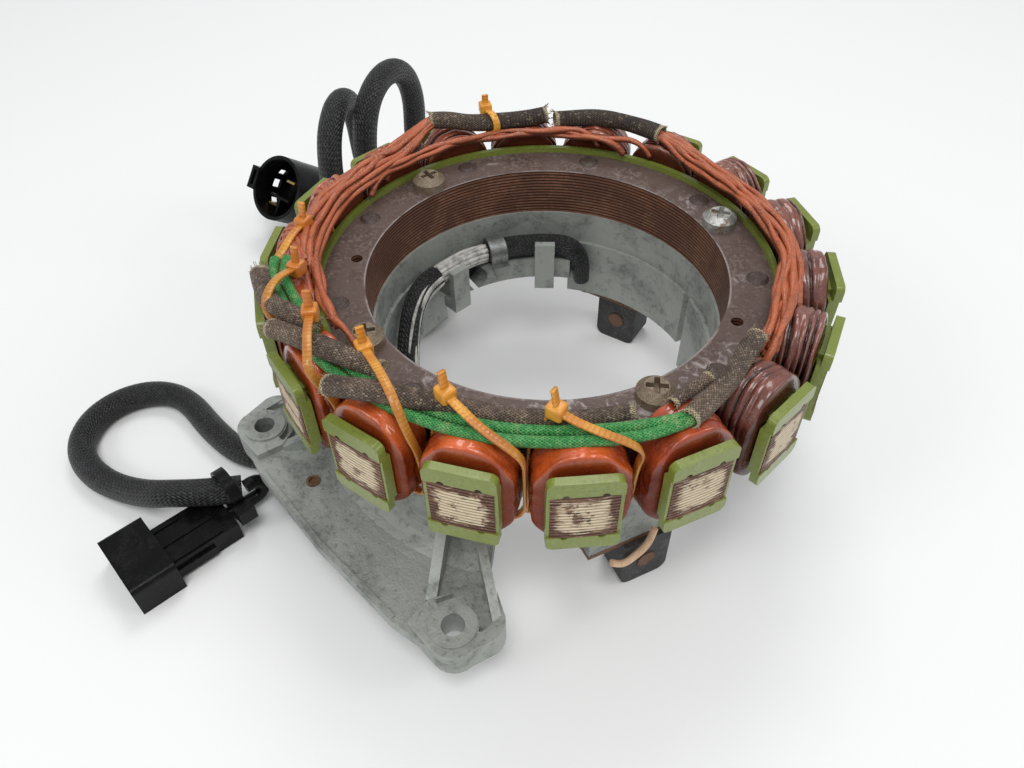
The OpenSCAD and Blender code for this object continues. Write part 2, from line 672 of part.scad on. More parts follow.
module stator_plate() {
  x = ear_spacing / 2;
  color("#8a8c8a") difference() {
    union() {
      for (s = [0, 1]) mirror([s, 0, 0]) ear();
      plate_walls();
      at(236) rotate_extrude(angle = 68, $fn = 96) web_section();
      translate([0, 0, flange_bottom]) linear_extrude(flange_t) flange_outline();
      edge_bead();
      for (t = pickup_turns) at(t) pickup_boss();
      at(136) harness_finger(-6);
      at(181) harness_finger(-8);
    }
    for (s = [-1, 1]) translate([s * x, -ear_y, -ear_drop - 1]) cylinder(d = ear_hole_d, h = ear_h + 4);
    for (t = screw_turns) at(t) translate([screw_pitch_r, 0, -seat_h + 1])
      cylinder(d = screw_d + screw_play, h = seat_h);
    for (t = pickup_turns, s = [-1, 1]) at(t)
      translate([bracket_mid_r, s * bracket_pitch / 2, -boss_drop - 1])
      cylinder(d = pickup_screw_d + screw_play, h = pickup_screw_depth + 1);
    at(signal_exit_turn) translate([wall_in_r - 3, 0, signal_exit_z]) rotate([0, 90, 0])
      cylinder(d = grommet_d + screw_play, h = wall_t + 6);
    at(power_exit_turn) translate([shelf_in_r - 1, 0, power_exit_z]) rotate([0, 90, 0])
      cylinder(d = grommet_d + screw_play, h = wall_out_r - shelf_in_r + 3);
    at(plug_turn) translate([plug_pitch_r, 0, flange_bottom - 1]) cylinder(d = plug_d, h = flange_t + 2);
  }
}

module flange_plug() {
  color("#8a6f52") at(plug_turn) translate([plug_pitch_r, 0, flange_bottom + 0.5]) difference() {
    cylinder(d = plug_d, h = flange_t);
    translate([0, 0, flange_t - 0.8]) cylinder(d = plug_d - 1.6, h = 1);
  }
}

module pickup_housings() {
  foot_r = 3.5;
  h = bracket_z - rest_z;
  color("#2b2c2e") for (t = pickup_turns) at(t) difference() {
    translate([pickup_in_r, 0, bracket_z]) rotate([90, 0, 90]) linear_extrude(pickup_depth)
      mirror([0, 1]) rounded_top(pickup_w, h, foot_r);
    translate([pickup_in_r - 1, 0, pickup_core_z]) rotate([0, 90, 0])
      cylinder(d = pickup_core_d, h = pickup_depth + 2);
  }
}

module pickup_cores() {
  proud = 0.6;
  color("#6b4636") for (t = pickup_turns) at(t) translate([pickup_in_r - proud, 0, pickup_core_z])
    rotate([0, 90, 0]) cylinder(d = pickup_core_d, h = pickup_depth + 2 * proud);
}

module pickup_brackets() {
  color("#70503f") for (t = pickup_turns) at(t) difference() {
    translate([boss_in_r, -boss_w / 2, bracket_z]) cube([boss_out_r - boss_in_r, boss_w, bracket_t]);
    for (s = [-1, 1]) translate([bracket_mid_r, s * bracket_pitch / 2, bracket_z - 1])
      cylinder(d = pickup_screw_d + screw_play, h = bracket_t + 2);
  }
}

module pickup_screws() {
  color("#70503f") for (t = pickup_turns, s = [-1, 1]) at(t)
    translate([bracket_mid_r, s * bracket_pitch / 2, bracket_z])
    mirror([0, 0, 1]) pan_screw(pickup_screw_d, pickup_screw_head_d, pickup_screw_head_h,
      bracket_t + pickup_screw_depth);
}

module pickup_wire() {
  color("#e2bd97") tube(pickup_wire_route, 2.2, 8);
}

module inner_harness() {
  color("#232323") tube(inner_route, inner_d);
}

module inner_harness_tail() {
  color("#232323") tube(inner_tail_route, inner_d);
}

// Bare strands of the harness, side by side where its sleeve is worn away
module exposed_strands() {
  strand_d = 2.2;
  color("#b9b9b4") for (w = [0 : 60 : 300])
    tube([for (t = strand_turns) polar(inner_r + 2.4 * cos(w), t, inner_z + 2.4 * sin(w))], strand_d, 8);
}

// A bent steel strip over the inner harness, its foot on the shelf
module harness_clamp() {
  strip_w = 6;
  strip_t = 1;
  r = inner_d / 2 + 0.3;
  foot_l = 3;
  color("#9b9c9a") at(158) translate([inner_r, 0, inner_z]) rotate([90, 0, 0]) {
    difference() {
      cylinder(r = r + strip_t, h = strip_w, center = true);
      cylinder(r = r, h = strip_w + 1, center = true);
      translate([-r - 2, -r - 5, -strip_w]) cube([2 * r + 4, r + 5, 2 * strip_w]);
    }
    translate([-r - strip_t, shelf_top - inner_z, -strip_w / 2])
      cube([strip_t, inner_z - shelf_top + eps, strip_w]);
    translate([-r - foot_l, shelf_top - inner_z, -strip_w / 2]) cube([foot_l, strip_t, strip_w]);
  }
}

// A rubber grommet through the wall, its flange outside
module grommet(t, z) {
  color("#1d1d1d") at(t) translate([wall_in_r - 0.6, 0, z]) rotate([0, 90, 0]) {
    cylinder(d = grommet_d, h = wall_t + 0.6 + grommet_out);
    translate([0, 0, wall_t + 0.9]) cylinder(d = grommet_flange_d, h = grommet_out - 0.3);
  }
}

module signal_cord() {
  color("#181818") tube(signal_route, cord_d);
}

// The wires that turn back from the end of the braid into the rectangular connector
module signal_leads() {
  z1 = signal_cord_end.z;
  turn = (z1 - signal_lead_z) / 2;
  turn_y = signal_cord_end.y + 3;
  lead_start_y = signal_cord_end.y + 1.2;
  color("#2a211d") translate([signal_x, 0, 0]) {
    translate([0, signal_rear_y, signal_lead_z]) rotate([-90, 0, 0])
      cylinder(d = signal_lead_d, h = turn_y - signal_rear_y);
    translate([0, lead_start_y, z1]) rotate([-90, 0, 0])
      cylinder(d = signal_lead_d, h = turn_y - lead_start_y);
    translate([0, turn_y, z1 - turn]) rotate([90, 0, 90]) rotate([0, 0, -90])
      rotate_extrude(angle = 180) translate([turn, 0]) circle(d = signal_lead_d);
  }
}

// The black tie that binds the end of the braid to the wires under it
module signal_tie() {
  low = signal_lead_z + 3.7;
  high = signal_cord_end.z + 1;
  r = cord_d / 2 + 1.9;
  side = 1.8;
  color("#141414") translate([signal_x - side, signal_cord_end.y - 3.6, (low + high) / 2])
    rotate([90, 0, 0]) {
    linear_extrude(3.6, center = true) difference() {
      stadium(r + tie_t, high - low);
      stadium(r, high - low);
    }
    translate([r + tie_t - eps, -2.6, -2.8]) cube([4.4, 5.2, 5.6]);
  }
}

module signal_connector() {
  rear_w = 17;
  rear_h = 7;
  corner = 2;
  rib = 1;
  color("#161616") translate([signal_x, signal_mouth_y, rest_z]) {
    difference() {
      rotate([-90, 0, 0]) mirror([0, 1, 0]) linear_extrude(shell_l) rounded_top(shell_w, shell_h, corner);
      translate([shell_wall - shell_w / 2, -1, shell_wall])
        cube([shell_w - 2 * shell_wall, shell_l - 2, shell_h - 2 * shell_wall]);
    }
    translate([-rear_w / 2, shell_l - eps, 0.5]) cube([rear_w, rear_l, rear_h]);
    for (s = [-1, 0, 1]) translate([s * (rear_w / 2 - 1.6) - 0.8, shell_l - eps, 0.5])
      cube([1.6, rear_l - 5, rear_h + rib - 0.6]);
    for (s = [-1, 1]) translate([s * (rear_w / 2 + 0.4) - 0.6, shell_l - eps, 1.5])
      cube([1.2, rear_l - 9, 3.5]);
  }
}

module signal_terminals() {
  blade_l = 8;
  color("#c9b27a") for (s = [-1, 0, 1])
    translate([signal_x + 6 * s - 1.4, signal_mouth_y + shell_l - 3 - blade_l, rest_z + shell_h / 2 - 0.4])
    cube([2.8, blade_l, 0.8]);
}

module power_cord() {
  color("#1c1d1c") tube(power_route, cord_d);
}

// Puts a shape that points from mouth to rear along +X in the round connector's place
module power_place() {
  translate(power_mouth) rotate([0, power_tilt, power_heading]) children();
}

module power_connector() {
  floor_t = 3;
  color("#151616") power_place() difference() {
    union() {
      rotate([0, 90, 0]) cylinder(r = round_r, h = round_l);
      translate([round_l - eps, 0, 0]) rotate([0, 90, 0])
        cylinder(r = round_rear_r, h = round_rear_l + eps);
      at(0) translate([-0.5, round_r - 1.5, -5]) cube([9, 4.5, 10]);
    }
    translate([-1, 0, 0]) rotate([0, 90, 0]) cylinder(r = round_r - shell_wall, h = round_l - floor_t + 1);
    translate([-2, round_r - 0.2, -3.4]) cube([12, 1.8, 6.8]);
    for (z = [-6.5, 0, 6.5]) translate([9.5, round_r - 5, z - 1.4]) cube([4.5, 8, z == 0 ? 3.6 : 2]);
  }
}

// The T-shaped divider between the three contacts of the round connector
module power_divider() {
  rib_t = 1.1;
  depth = round_l - 3;
  start = 5;
  color("#1f2020") power_place() {
    translate([start, -4.5, -rib_t / 2 - 4]) cube([depth - start, 12, rib_t]);
    translate([start, 0.5, -round_r + shell_wall + 0.3])
      cube([depth - start, rib_t, round_r - shell_wall - 4.3]);
  }
}

module power_terminals() {
  blade_l = 10;
  color("#c9b27a") power_place() for (p = [[-6, -8], [6.5, -8], [0, 4]])
    translate([round_l - 3 - blade_l, p.x - 2.4, p.y - 0.5]) cube([blade_l, 4.8, 1]);
}

stator_plate();
stator_core();
core_rivets();
core_screws();
upper_insulator();
lower_insulator();
slot_liners();
phase(0);  // phase_u_coils
phase(1);  // phase_v_coils
phase(2);  // phase_w_coils
left_lead_bundle();
right_lead_bundle();
sleeve(back_long_route);  // back_sleeve_long
sleeve(back_short_route);  // back_sleeve_short
sleeve(left_outer_route);  // left_sleeve_outer
sleeve(left_inner_route);  // left_sleeve_inner
sleeve(front_route, [for (c = front_thinner) sleeve_d - c]);  // front_sleeve
sleeve(right_large_route, large_sleeve_d);  // right_sleeve_large
sleeve(right_small_route, small_sleeve_d);  // right_sleeve_small
green_lead(0);  // green_lead_outer
green_lead(green_step);  // green_lead_inner
cable_ties();
back_tie();
inner_harness();
inner_harness_tail();
exposed_strands();
harness_clamp();
pickup_housings();
pickup_cores();
pickup_brackets();
pickup_screws();
pickup_wire();
flange_plug();
grommet(signal_exit_turn, signal_exit_z);  // signal_grommet
signal_cord();
signal_tie();
signal_leads();
signal_connector();
signal_terminals();
grommet(power_exit_turn, power_exit_z);  // power_grommet
power_cord();
power_connector();
power_divider();
power_terminals();
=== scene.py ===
# %% [markdown]
# # A wound stator
# The part is the still half of a small engine's generator: a ring of steel poles, each with a coil,
# carried by a die-cast plate. The solids are already made, in metres, and they are loaded here as a fixed
# frame. This lesson gives them their finishes, and replaces the pieces whose real surface is wound,
# braided or moulded with surfaces that numpy works out.

# %% Load the frame
import math

import bpy
import numpy as np
from mathutils import Matrix, Vector


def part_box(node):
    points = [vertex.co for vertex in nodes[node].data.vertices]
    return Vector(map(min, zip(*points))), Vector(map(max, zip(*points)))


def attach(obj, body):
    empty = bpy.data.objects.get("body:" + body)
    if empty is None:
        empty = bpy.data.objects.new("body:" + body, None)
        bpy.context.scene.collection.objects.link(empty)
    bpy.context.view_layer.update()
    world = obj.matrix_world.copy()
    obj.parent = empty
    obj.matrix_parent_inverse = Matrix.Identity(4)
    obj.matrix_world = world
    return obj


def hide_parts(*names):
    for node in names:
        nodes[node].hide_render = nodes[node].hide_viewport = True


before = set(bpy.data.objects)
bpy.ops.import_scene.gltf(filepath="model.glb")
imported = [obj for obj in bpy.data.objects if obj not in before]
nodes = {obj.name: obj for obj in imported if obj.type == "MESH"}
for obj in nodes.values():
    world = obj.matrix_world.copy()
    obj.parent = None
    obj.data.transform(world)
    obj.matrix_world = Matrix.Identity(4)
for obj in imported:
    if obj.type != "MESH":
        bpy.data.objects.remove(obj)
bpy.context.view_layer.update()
MM = 0.001

# %% [markdown]
# ## Camera
# The photograph was taken from about 25 cm, slightly above, with a short lens, so near poles look much
# larger than far ones. The camera stands on the bisector of +X and -Y. It first looks at the middle of
# the stack's upper face, then turns a little aside, down and round.

# %% Place the camera
eye = np.array([0.13665, -0.13665, 0.16618])
aim = np.array([0.0, 0.0, 0.016])
turn_aside, turn_down, turn_round = np.radians([-2.26, -8.16, 0.97])
SENSOR_MM, PICTURE_PX, FOCAL_PX = 36.0, 1024, 813.16


def unit(v):
    """A vector, or each vector of an array, divided by its length."""
    return v / np.linalg.norm(v, axis=-1, keepdims=True)


def new_object(name, data):
    """A new object in the scene, at the origin."""
    obj = bpy.data.objects.new(name, data)
    bpy.context.scene.collection.objects.link(obj)
    return obj


ahead = unit(aim - eye)
right = np.array([math.sqrt(0.5), math.sqrt(0.5), 0.0])
above = np.cross(right, ahead)
ahead = unit(ahead + math.tan(turn_aside) * right + math.tan(turn_down) * above)
right = unit(np.cross(ahead, above))
above = np.cross(right, ahead)
right, above = (math.cos(turn_round) * right + math.sin(turn_round) * above,
                math.cos(turn_round) * above - math.sin(turn_round) * right)
camera_data = bpy.data.cameras.new("camera")
camera_data.sensor_width = SENSOR_MM
camera_data.lens = SENSOR_MM * FOCAL_PX / PICTURE_PX
camera_data.clip_start = 0.01
camera = new_object("camera", camera_data)
pose = np.eye(4)
pose[:3, 0], pose[:3, 1], pose[:3, 2], pose[:3, 3] = right, above, -ahead, eye
camera.matrix_world = Matrix(pose.tolist())
bpy.context.scene.camera = camera
print("camera lens, mm:", round(camera_data.lens, 2))

# %% [markdown]
# ## Surfaces from arrays
# Every new piece is one or more grids of points. A helper joins each grid into four-sided faces and lays a
# UV map on it, measured in millimetres, so that a weave has the same size on every piece.

# %% Grids to meshes


def grid(points, around=False, along=False, uv=None, **layers):
    """One surface: points[i, j] in mm. Columns close on themselves with around, rows with along.
    uv gives the map at each point, and each layer a number or a colour at each point."""
    points = np.asarray(points, float)
    if uv is None:
        steps_u = np.linalg.norm(np.diff(points, axis=1), axis=2).mean(0)
        steps_v = np.linalg.norm(np.diff(points, axis=0), axis=2).mean(1)
        uv = np.stack(np.meshgrid(np.append(0, steps_u.cumsum()), np.append(0, steps_v.cumsum())), -1)
    return dict(points=points, around=around, along=along, uv=np.asarray(uv, float), layers=layers)


def faces_of(g, start):
    """The four corners of each face of a grid, as numbers of points, and the UV at each corner."""
    n, m = g["points"].shape[:2]
    rows, columns = n if g["along"] else n - 1, m if g["around"] else m - 1
    i, j = np.meshgrid(np.arange(rows), np.arange(columns), indexing="ij")
    i2, j2 = (i + 1) % n, (j + 1) % m
    corners = np.stack([i * m + j, i * m + j2, i2 * m + j2, i2 * m + j], -1).reshape(-1, 4)
    uv = g["uv"]
    wide = np.concatenate([uv, 2 * uv[:, -1:] - uv[:, -2:-1]], 1)
    tall = np.concatenate([wide, 2 * wide[-1:] - wide[-2:-1]], 0)
    at = [tall[i, j], tall[i, j + 1], tall[i + 1, j + 1], tall[i + 1, j]]
    return corners + start, np.stack(at, -2).reshape(-1, 4, 2)


def piece(name, grids, look, slot, *replaces):
    """Joins grids into one mesh object at the origin, with its finish, and hides the nodes it stands for. slot is
    not used.
    """
    points = [g["points"].reshape(-1, 3) for g in grids]
    starts = np.cumsum([0] + [len(p) for p in points])
    points = np.concatenate(points) * MM
    quads, uvs = [np.concatenate(x) for x in zip(*[faces_of(g, s) for g, s in zip(grids, starts)])]
    mesh = bpy.data.meshes.new(name)
    mesh.vertices.add(len(points))
    mesh.vertices.foreach_set("co", points.astype(np.float32).ravel())
    mesh.loops.add(quads.size)
    mesh.loops.foreach_set("vertex_index", quads.astype(np.int32).ravel())
    mesh.polygons.add(len(quads))
    mesh.polygons.foreach_set("loop_start", np.arange(0, quads.size, 4, dtype=np.int32))
    mesh.polygons.foreach_set("use_smooth", np.full(len(quads), True))
    mesh.uv_layers.new(name="UVMap").data.foreach_set("uv", uvs.astype(np.float32).ravel())
    for key in grids[0]["layers"]:
        values = [np.asarray(g["layers"][key], float) for g in grids]
        kind, field = "FLOAT", "value"
        if values[0].ndim == 3:
            kind, field = "FLOAT_COLOR", "color"
            values = [np.concatenate([c, np.ones_like(c[..., :1])], -1) for c in values]
        values = np.concatenate([c.ravel() for c in values]).astype(np.float32)
        mesh.attributes.new(key, kind, "POINT").data.foreach_set(field, values)
    mesh.update(calc_edges=True)
    mesh.validate()
    obj = new_object(name, mesh)
    mesh.materials.append(look.material)
    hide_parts(*replaces)
    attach(obj, "root")
    print(f"{name}: {2 * len(quads)} triangles")
    return obj


# %% [markdown]
# ## Paths
# Leads, sleeves and cords follow smooth lines through a few given points. A natural cubic spline has no
# kinks in its bends, and a set of side vectors carried along it without twist keeps a weave straight.

# %% Splines and tubes
UP = np.array([0, 0, 1.0])


def polar(r, t, z):
    """Points from radius, angle in degrees and height."""
    r, t, z = np.broadcast_arrays(np.asarray(r, float), np.radians(t), np.asarray(z, float))
    return np.stack([r * np.cos(t), r * np.sin(t), z], -1)


def run_along(line):
    """The way along a line at each of its points, from 0."""
    return np.append(0, np.linalg.norm(np.diff(line, axis=0), axis=1).cumsum())


def angles_round(count):
    """Even angles round a circle, as one row."""
    return np.linspace(0, 2 * np.pi, count, endpoint=False)[None, :]


def spline(points, spacing):
    """Natural cubic spline through the points, by chord length, cut into even steps: its second derivatives
    solve one linear system, and each span is the usual cubic between two of them."""
    p = np.asarray(points, float)
    h = np.linalg.norm(np.diff(p, axis=0), axis=1)
    n = len(p)
    a, b = np.eye(n), np.zeros((n, 3))
    k = np.arange(1, n - 1)
    a[k, k - 1], a[k, k], a[k, k + 1] = h[:-1], 2 * (h[:-1] + h[1:]), h[1:]
    slope = np.diff(p, axis=0) / h[:, None]
    b[1:-1] = 6 * np.diff(slope, axis=0)
    m = np.linalg.solve(a, b)
    knots = np.append(0, h.cumsum())

    def at(s):
        i = np.clip(np.searchsorted(knots, s, side="right") - 1, 0, n - 2)
        u, v, w = (s - knots[i])[:, None], (knots[i + 1] - s)[:, None], h[i][:, None]
        bend = (m[i] * v**3 + m[i + 1] * u**3) / (6 * w)
        return bend + (p[i] / w - m[i] * w / 6) * v + (p[i + 1] / w - m[i + 1] * w / 6) * u

    fine = at(np.linspace(0, knots[-1], 40 * n))
    run = run_along(fine)
    even = np.linspace(0, run[-1], max(4, int(round(run[-1] / spacing)) + 1))
    return np.stack([np.interp(even, run, fine[:, c]) for c in range(3)], -1)


def side_vectors(line):
    """Tangent, side and up vectors along a line. The side vector is carried from station to station by
    taking away the part that points along the line."""
    d = unit(np.gradient(line, axis=0))
    side = np.zeros_like(line)
    carried = UP if abs(d[0, 2]) < 0.9 else np.array([1.0, 0, 0])
    for i, ahead_here in enumerate(d):
        carried = unit(carried - (carried @ ahead_here) * ahead_here)
        side[i] = carried
    return d, side, np.cross(d, side)


def tube(line, radius, sides=16, flat=1.0, hollow=0.0, lumps=None, ends=False):
    """A closed curve carried along a line: centre + radius * (cos w * side * flat + sin w * up). The ends turn
    in to a point, or go back inside for a hollow end. lumps scales the radius at each station and angle. With
    ends, each point also gets its distance from the nearer end, less than 0 inside a hollow end."""
    d, side, up = side_vectors(line)
    w = angles_round(sides)
    r = np.broadcast_to(np.asarray(radius, float).reshape(-1, 1), (len(line), sides))
    if lumps is not None:
        r = r * lumps
    ring = np.cos(w)[..., None] * side[:, None] * flat + np.sin(w)[..., None] * up[:, None]
    rows = line[:, None] + r[..., None] * ring
    along = run_along(line)
    closing = []
    for i, inwards in ((0, 1), (-1, -1)):
        middle, rim = line[i], r[i][:, None] * ring[i]
        if hollow:
            inner = middle + inwards * hollow * d[i]
            lip = middle + 0.86 * rim - 0.2 * inwards * d[i]
            closing.append([lip, inner + 0.8 * rim, np.repeat(inner[None], sides, 0)])
        else:
            closing.append([middle + 0.6 * rim, np.repeat(middle[None], sides, 0)])
    extra = len(closing[0])
    rows = np.concatenate([np.stack(closing[0][::-1]), rows, np.stack(closing[1])])
    beyond = 0.3 * np.arange(1, extra + 1)
    v = np.concatenate([-beyond[::-1], along, along[-1] + beyond])
    u = np.broadcast_to(np.arange(sides) * 2 * np.pi / sides * np.mean(radius), rows.shape[:2])
    layers = {}
    if ends:
        near = np.minimum(along, along[-1] - along)
        near = np.concatenate([[-2.0, -1.0, 0.0][-extra:], near, [0.0, -1.0, -2.0][:extra]])
        layers["end"] = np.broadcast_to(near[:, None], rows.shape[:2])
    return grid(rows, around=True, uv=np.stack([u, np.broadcast_to(v[:, None], rows.shape[:2])], -1), **layers)


def waves(seed, *coords, count=5, low=0.05, high=0.3):
    """A smooth random field: a sum of sines of the coordinates, with seeded frequencies and phases."""
    rng = np.random.default_rng(seed)
    total = 0
    for _ in range(count):
        f = rng.uniform(low, high, len(coords)) * rng.choice([-1, 1], len(coords))
        total = total + np.sin(sum(k * c for k, c in zip(f, coords)) + rng.uniform(0, 2 * np.pi))
    return total / math.sqrt(count)


# %% [markdown]
# ## Finishes
# A material is a small graph of nodes. Two classes keep the graphs short. A Graph places nodes in a tree: sums,
# masks, mixes and noise. A Finish is the Graph of one material, which also knows its Principled shader and
# its Object coordinates. Effects that several finishes share are node groups, built once.

# %% Node helpers


def rgb(r, g, b):
    """A screen colour, 0 to 255, as the linear colour that shaders use."""
    c = np.array([r, g, b]) / 255
    lin = np.where(c <= 0.04045, c / 12.92, ((c + 0.055) / 1.055) ** 2.4)
    return (*lin.tolist(), 1.0)


class Graph:
    """A tree of nodes. Each method places a node and gives back its socket. Inputs are numbers or sockets."""

    def __init__(self, tree):
        self.tree = tree

    def link(self, value, socket):
        """Links a socket to an input, or sets a plain value on it."""
        if isinstance(value, bpy.types.NodeSocket):
            self.tree.links.new(value, socket)
        else:
            socket.default_value = value

    def put(self, kind, ins=(), **props):
        """Places a node. ins gives its inputs by name or number."""
        node = self.tree.nodes.new("ShaderNode" + kind)
        for key, value in props.items():
            setattr(node, key, value)
        for key, value in dict(ins).items():
            self.link(value, node.inputs[key])
        return node

    def use(self, tree, **ins):
        """Places a group with its own values."""
        return self.put("Group", node_tree=tree, ins=ins).outputs

    def math(self, operation, a, b=0.0, clamp=False):
        """One sum."""
        return self.put("Math", {0: a, 1: b}, operation=operation, use_clamp=clamp).outputs[0]

    def add(self, a, b):
        return self.math("ADD", a, b)

    def sub(self, a, b):
        return self.math("SUBTRACT", a, b)

    def mul(self, a, b, clamp=False):
        return self.math("MULTIPLY", a, b, clamp)

    def mask(self, value, low, high, to_low=0.0, to_high=1.0):
        """A mask that goes smoothly from to_low to to_high as value goes from low to high."""
        ins = {0: value, 1: low, 2: high, 3: to_low, 4: to_high}
        return self.put("MapRange", ins, interpolation_type="SMOOTHSTEP").outputs[0]

    def mix(self, mask, a, b, how="MIX"):
        """Colour a where the mask is 0 and colour b where it is 1."""
        return self.put("Mix", data_type="RGBA", blend_type=how, ins={0: mask, 6: a, 7: b}).outputs[2]

    def split(self, vector):
        """The three parts of a vector."""
        return self.put("SeparateXYZ", {0: vector}).outputs

    def noise(self, vector, scale, detail=4.0, rough=0.55, warp=0.0):
        """Noise of a size, in features per metre on Object coordinates."""
        ins = {"Vector": vector, "Scale": scale, "Detail": detail, "Roughness": rough, "Distortion": warp}
        return self.put("TexNoise", ins).outputs[0]


class Finish(Graph):
    """The Graph of a material. Inputs of its shader are named with _ for a space."""

    def __init__(self, name, **sockets):
        self.material = bpy.data.materials.new(name)
        self.material.use_nodes = True
        super().__init__(self.material.node_tree)
        self.shader = self.tree.nodes["Principled BSDF"]
        self.place = self.put("TexCoord").outputs["Object"]
        self.feed(**sockets)

    def feed(self, **sockets):
        """Links or sets inputs of the shader."""
        for key, value in sockets.items():
            self.link(value, self.shader.inputs[key.replace("_", " ")])

    def bump(self, height, distance):
        """A bump of a height, in metres, on the shader's normal."""
        self.feed(Normal=self.put("Bump", {"Height": height, "Distance": distance}).outputs[0])

    def spots(self, scale, low, high, detail=4.0, rough=0.6, warp=0.0):
        """A mask of noise at the material's own place."""
        return self.mask(self.noise(self.place, scale, detail, rough, warp), low, high)

    def facing(self):
        """How far a face looks up: 1 on a level top, 0 on a wall, -1 below."""
        return self.split(self.put("NewGeometry").outputs["Normal"])[2]

    def stains(self, base, patch, fleck, size, patches, flecks):
        """The stains group, with three screen colours."""
        return self.use(stains, Vector=self.place, Base=rgb(*base), Patch=rgb(*patch), Fleck=rgb(*fleck),
                        Size=size, Patches=patches, Flecks=flecks)

    def grain(self, size, height):
        """A bump of the grain group."""
        self.bump(self.use(grain, Vector=self.place, Size=size)["Height"], height)

    def weave(self, around, along, height):
        """The braid group on the piece's own map, and its bump."""
        cross = self.use(braid, UV=self.put("UVMap").outputs[0], Around=around, Along=along)
        self.bump(cross["Height"], height)
        return cross


def group(name, inputs, outputs):
    """An empty node group with named sockets: returns it, its Graph, its inputs and its output node."""
    tree = bpy.data.node_groups.new(name, "ShaderNodeTree")
    kinds = {"c": "NodeSocketColor", "f": "NodeSocketFloat", "v": "NodeSocketVector"}
    for way, sockets in (("INPUT", inputs), ("OUTPUT", outputs)):
        for key, kind in sockets.items():
            tree.interface.new_socket(key, in_out=way, socket_type=kinds[kind])
    enter, leave = tree.nodes.new("NodeGroupInput"), tree.nodes.new("NodeGroupOutput")
    return tree, Graph(tree), enter.outputs, leave


def put_out(g, leave, *values):
    """Links values to the outputs of a group, in order."""
    for value, socket in zip(values, leave.inputs):
        g.link(value, socket)


def dress(g, *names):
    """Gives solids of the frame their finish."""
    for name in names:
        nodes[name].data.materials.clear()
        nodes[name].data.materials.append(g.material)


def stained(name, *tones, on=(), rough=None, grain=None, **sockets):
    """A finish of stains on some solids. rough is the roughness of clean skin and what a patch adds to it, and
    grain the size and height of a bump. Returns it with its stains."""
    g = Finish(name, **sockets)
    tone = g.stains(*tones)
    g.feed(Base_Color=tone["Color"])
    if rough:
        g.feed(Roughness=g.add(rough[0], g.mul(tone["Patch mask"], rough[1])))
    if grain:
        g.grain(*grain)
    dress(g, *on)
    return g, tone


print("helpers ready")

# %% [markdown]
# Three effects come back on many pieces. Stains are broad patches of two tones with fine flecks in them.
# Grain is the small unevenness of cast or moulded skin. Braid is two sets of threads that cross over and
# under each other, drawn on the UV map.

# %% Shared effects
stains, g, i, o = group(
    "stains",
    {"Vector": "v", "Base": "c", "Patch": "c", "Fleck": "c", "Size": "f", "Patches": "f", "Flecks": "f"},
    {"Color": "c", "Patch mask": "f", "Fleck mask": "f"})
broad = g.noise(i["Vector"], i["Size"], 5.0, 0.6, 0.6)
fine = g.noise(i["Vector"], g.mul(i["Size"], 9.0), 3.0, 0.7)
patch = g.mul(g.mask(broad, 0.42, 0.68), i["Patches"], clamp=True)
fleck = g.mul(g.mask(g.mul(fine, g.add(broad, 0.55)), 0.54, 0.72), i["Flecks"], clamp=True)
put_out(g, o, g.mix(fleck, g.mix(patch, i["Base"], i["Patch"]), i["Fleck"]), patch, fleck)

grain, g, i, o = group("grain", {"Vector": "v", "Size": "f"}, {"Height": "f"})
finer = g.noise(i["Vector"], g.mul(i["Size"], 4.0), 3.0, 0.7)
put_out(g, o, g.add(g.noise(i["Vector"], i["Size"], 2.0), g.mul(finer, 0.45)))

braid, g, i, o = group("braid", {"UV": "v", "Around": "f", "Along": "f"},
                       {"Height": "f", "Thread": "f", "Gap": "f"})
map_u, map_v, _ = g.split(i["UV"])
u, v = g.mul(map_u, i["Around"]), g.mul(map_v, i["Along"])
one, two = g.add(u, v), g.sub(u, v)
ridge = [g.math("ABSOLUTE", g.math("SINE", g.mul(s, math.pi))) for s in (one, two)]
turn = g.add(g.math("FLOOR", one), g.math("FLOOR", two))
over = g.math("GREATER_THAN", g.math("FLOORED_MODULO", turn, 2.0), 0.5)
top = g.put("Mix", {0: over, 2: ridge[0], 3: ridge[1]}, data_type="FLOAT").outputs[0]
under = g.put("Mix", {0: over, 2: ridge[1], 3: ridge[0]}, data_type="FLOAT").outputs[0]
lift = g.math("MAXIMUM", top, g.mul(under, 0.45))
cell = g.put("CombineXYZ", {0: g.math("FLOOR", one), 1: g.math("FLOOR", two), 2: over})
tag = g.put("TexWhiteNoise", {"Vector": cell.outputs[0]}, noise_dimensions="3D").outputs["Value"]
# Gap shade marks the valleys between threads, where the finishes paint shade.
put_out(g, o, lift, tag, g.mask(lift, 0.5, 0.2))
print("groups:", [tree.name for tree in bpy.data.node_groups])

# %% [markdown]
# ## Floor and light
# A pale floor and four soft lamps show the part as in a catalogue. The lamps are set so that a colour comes
# out about as it is written. The floor lies at the plate's lowest point, which the part rests on.

# %% Studio
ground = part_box("stator_plate")[0].z
HALF_FLOOR = 3.0
mesh = bpy.data.meshes.new("floor")
square = ((-1, -1), (1, -1), (1, 1), (-1, 1))
mesh.from_pydata([(x * HALF_FLOOR, y * HALF_FLOOR, ground) for x, y in square], [], [(0, 1, 2, 3)])
floor = new_object("floor", mesh)
pale = Finish("pale floor", Base_Color=(0.94, 0.945, 0.94, 1), Roughness=0.55, Specular_IOR_Level=0.25)
mesh.materials.append(pale.material)

world = bpy.data.worlds.new("studio")
world.use_nodes = True
bpy.context.scene.world = world
back = world.node_tree.nodes["Background"]
back.inputs["Color"].default_value = (0.97, 0.985, 1.0, 1)
back.inputs["Strength"].default_value = 0.45


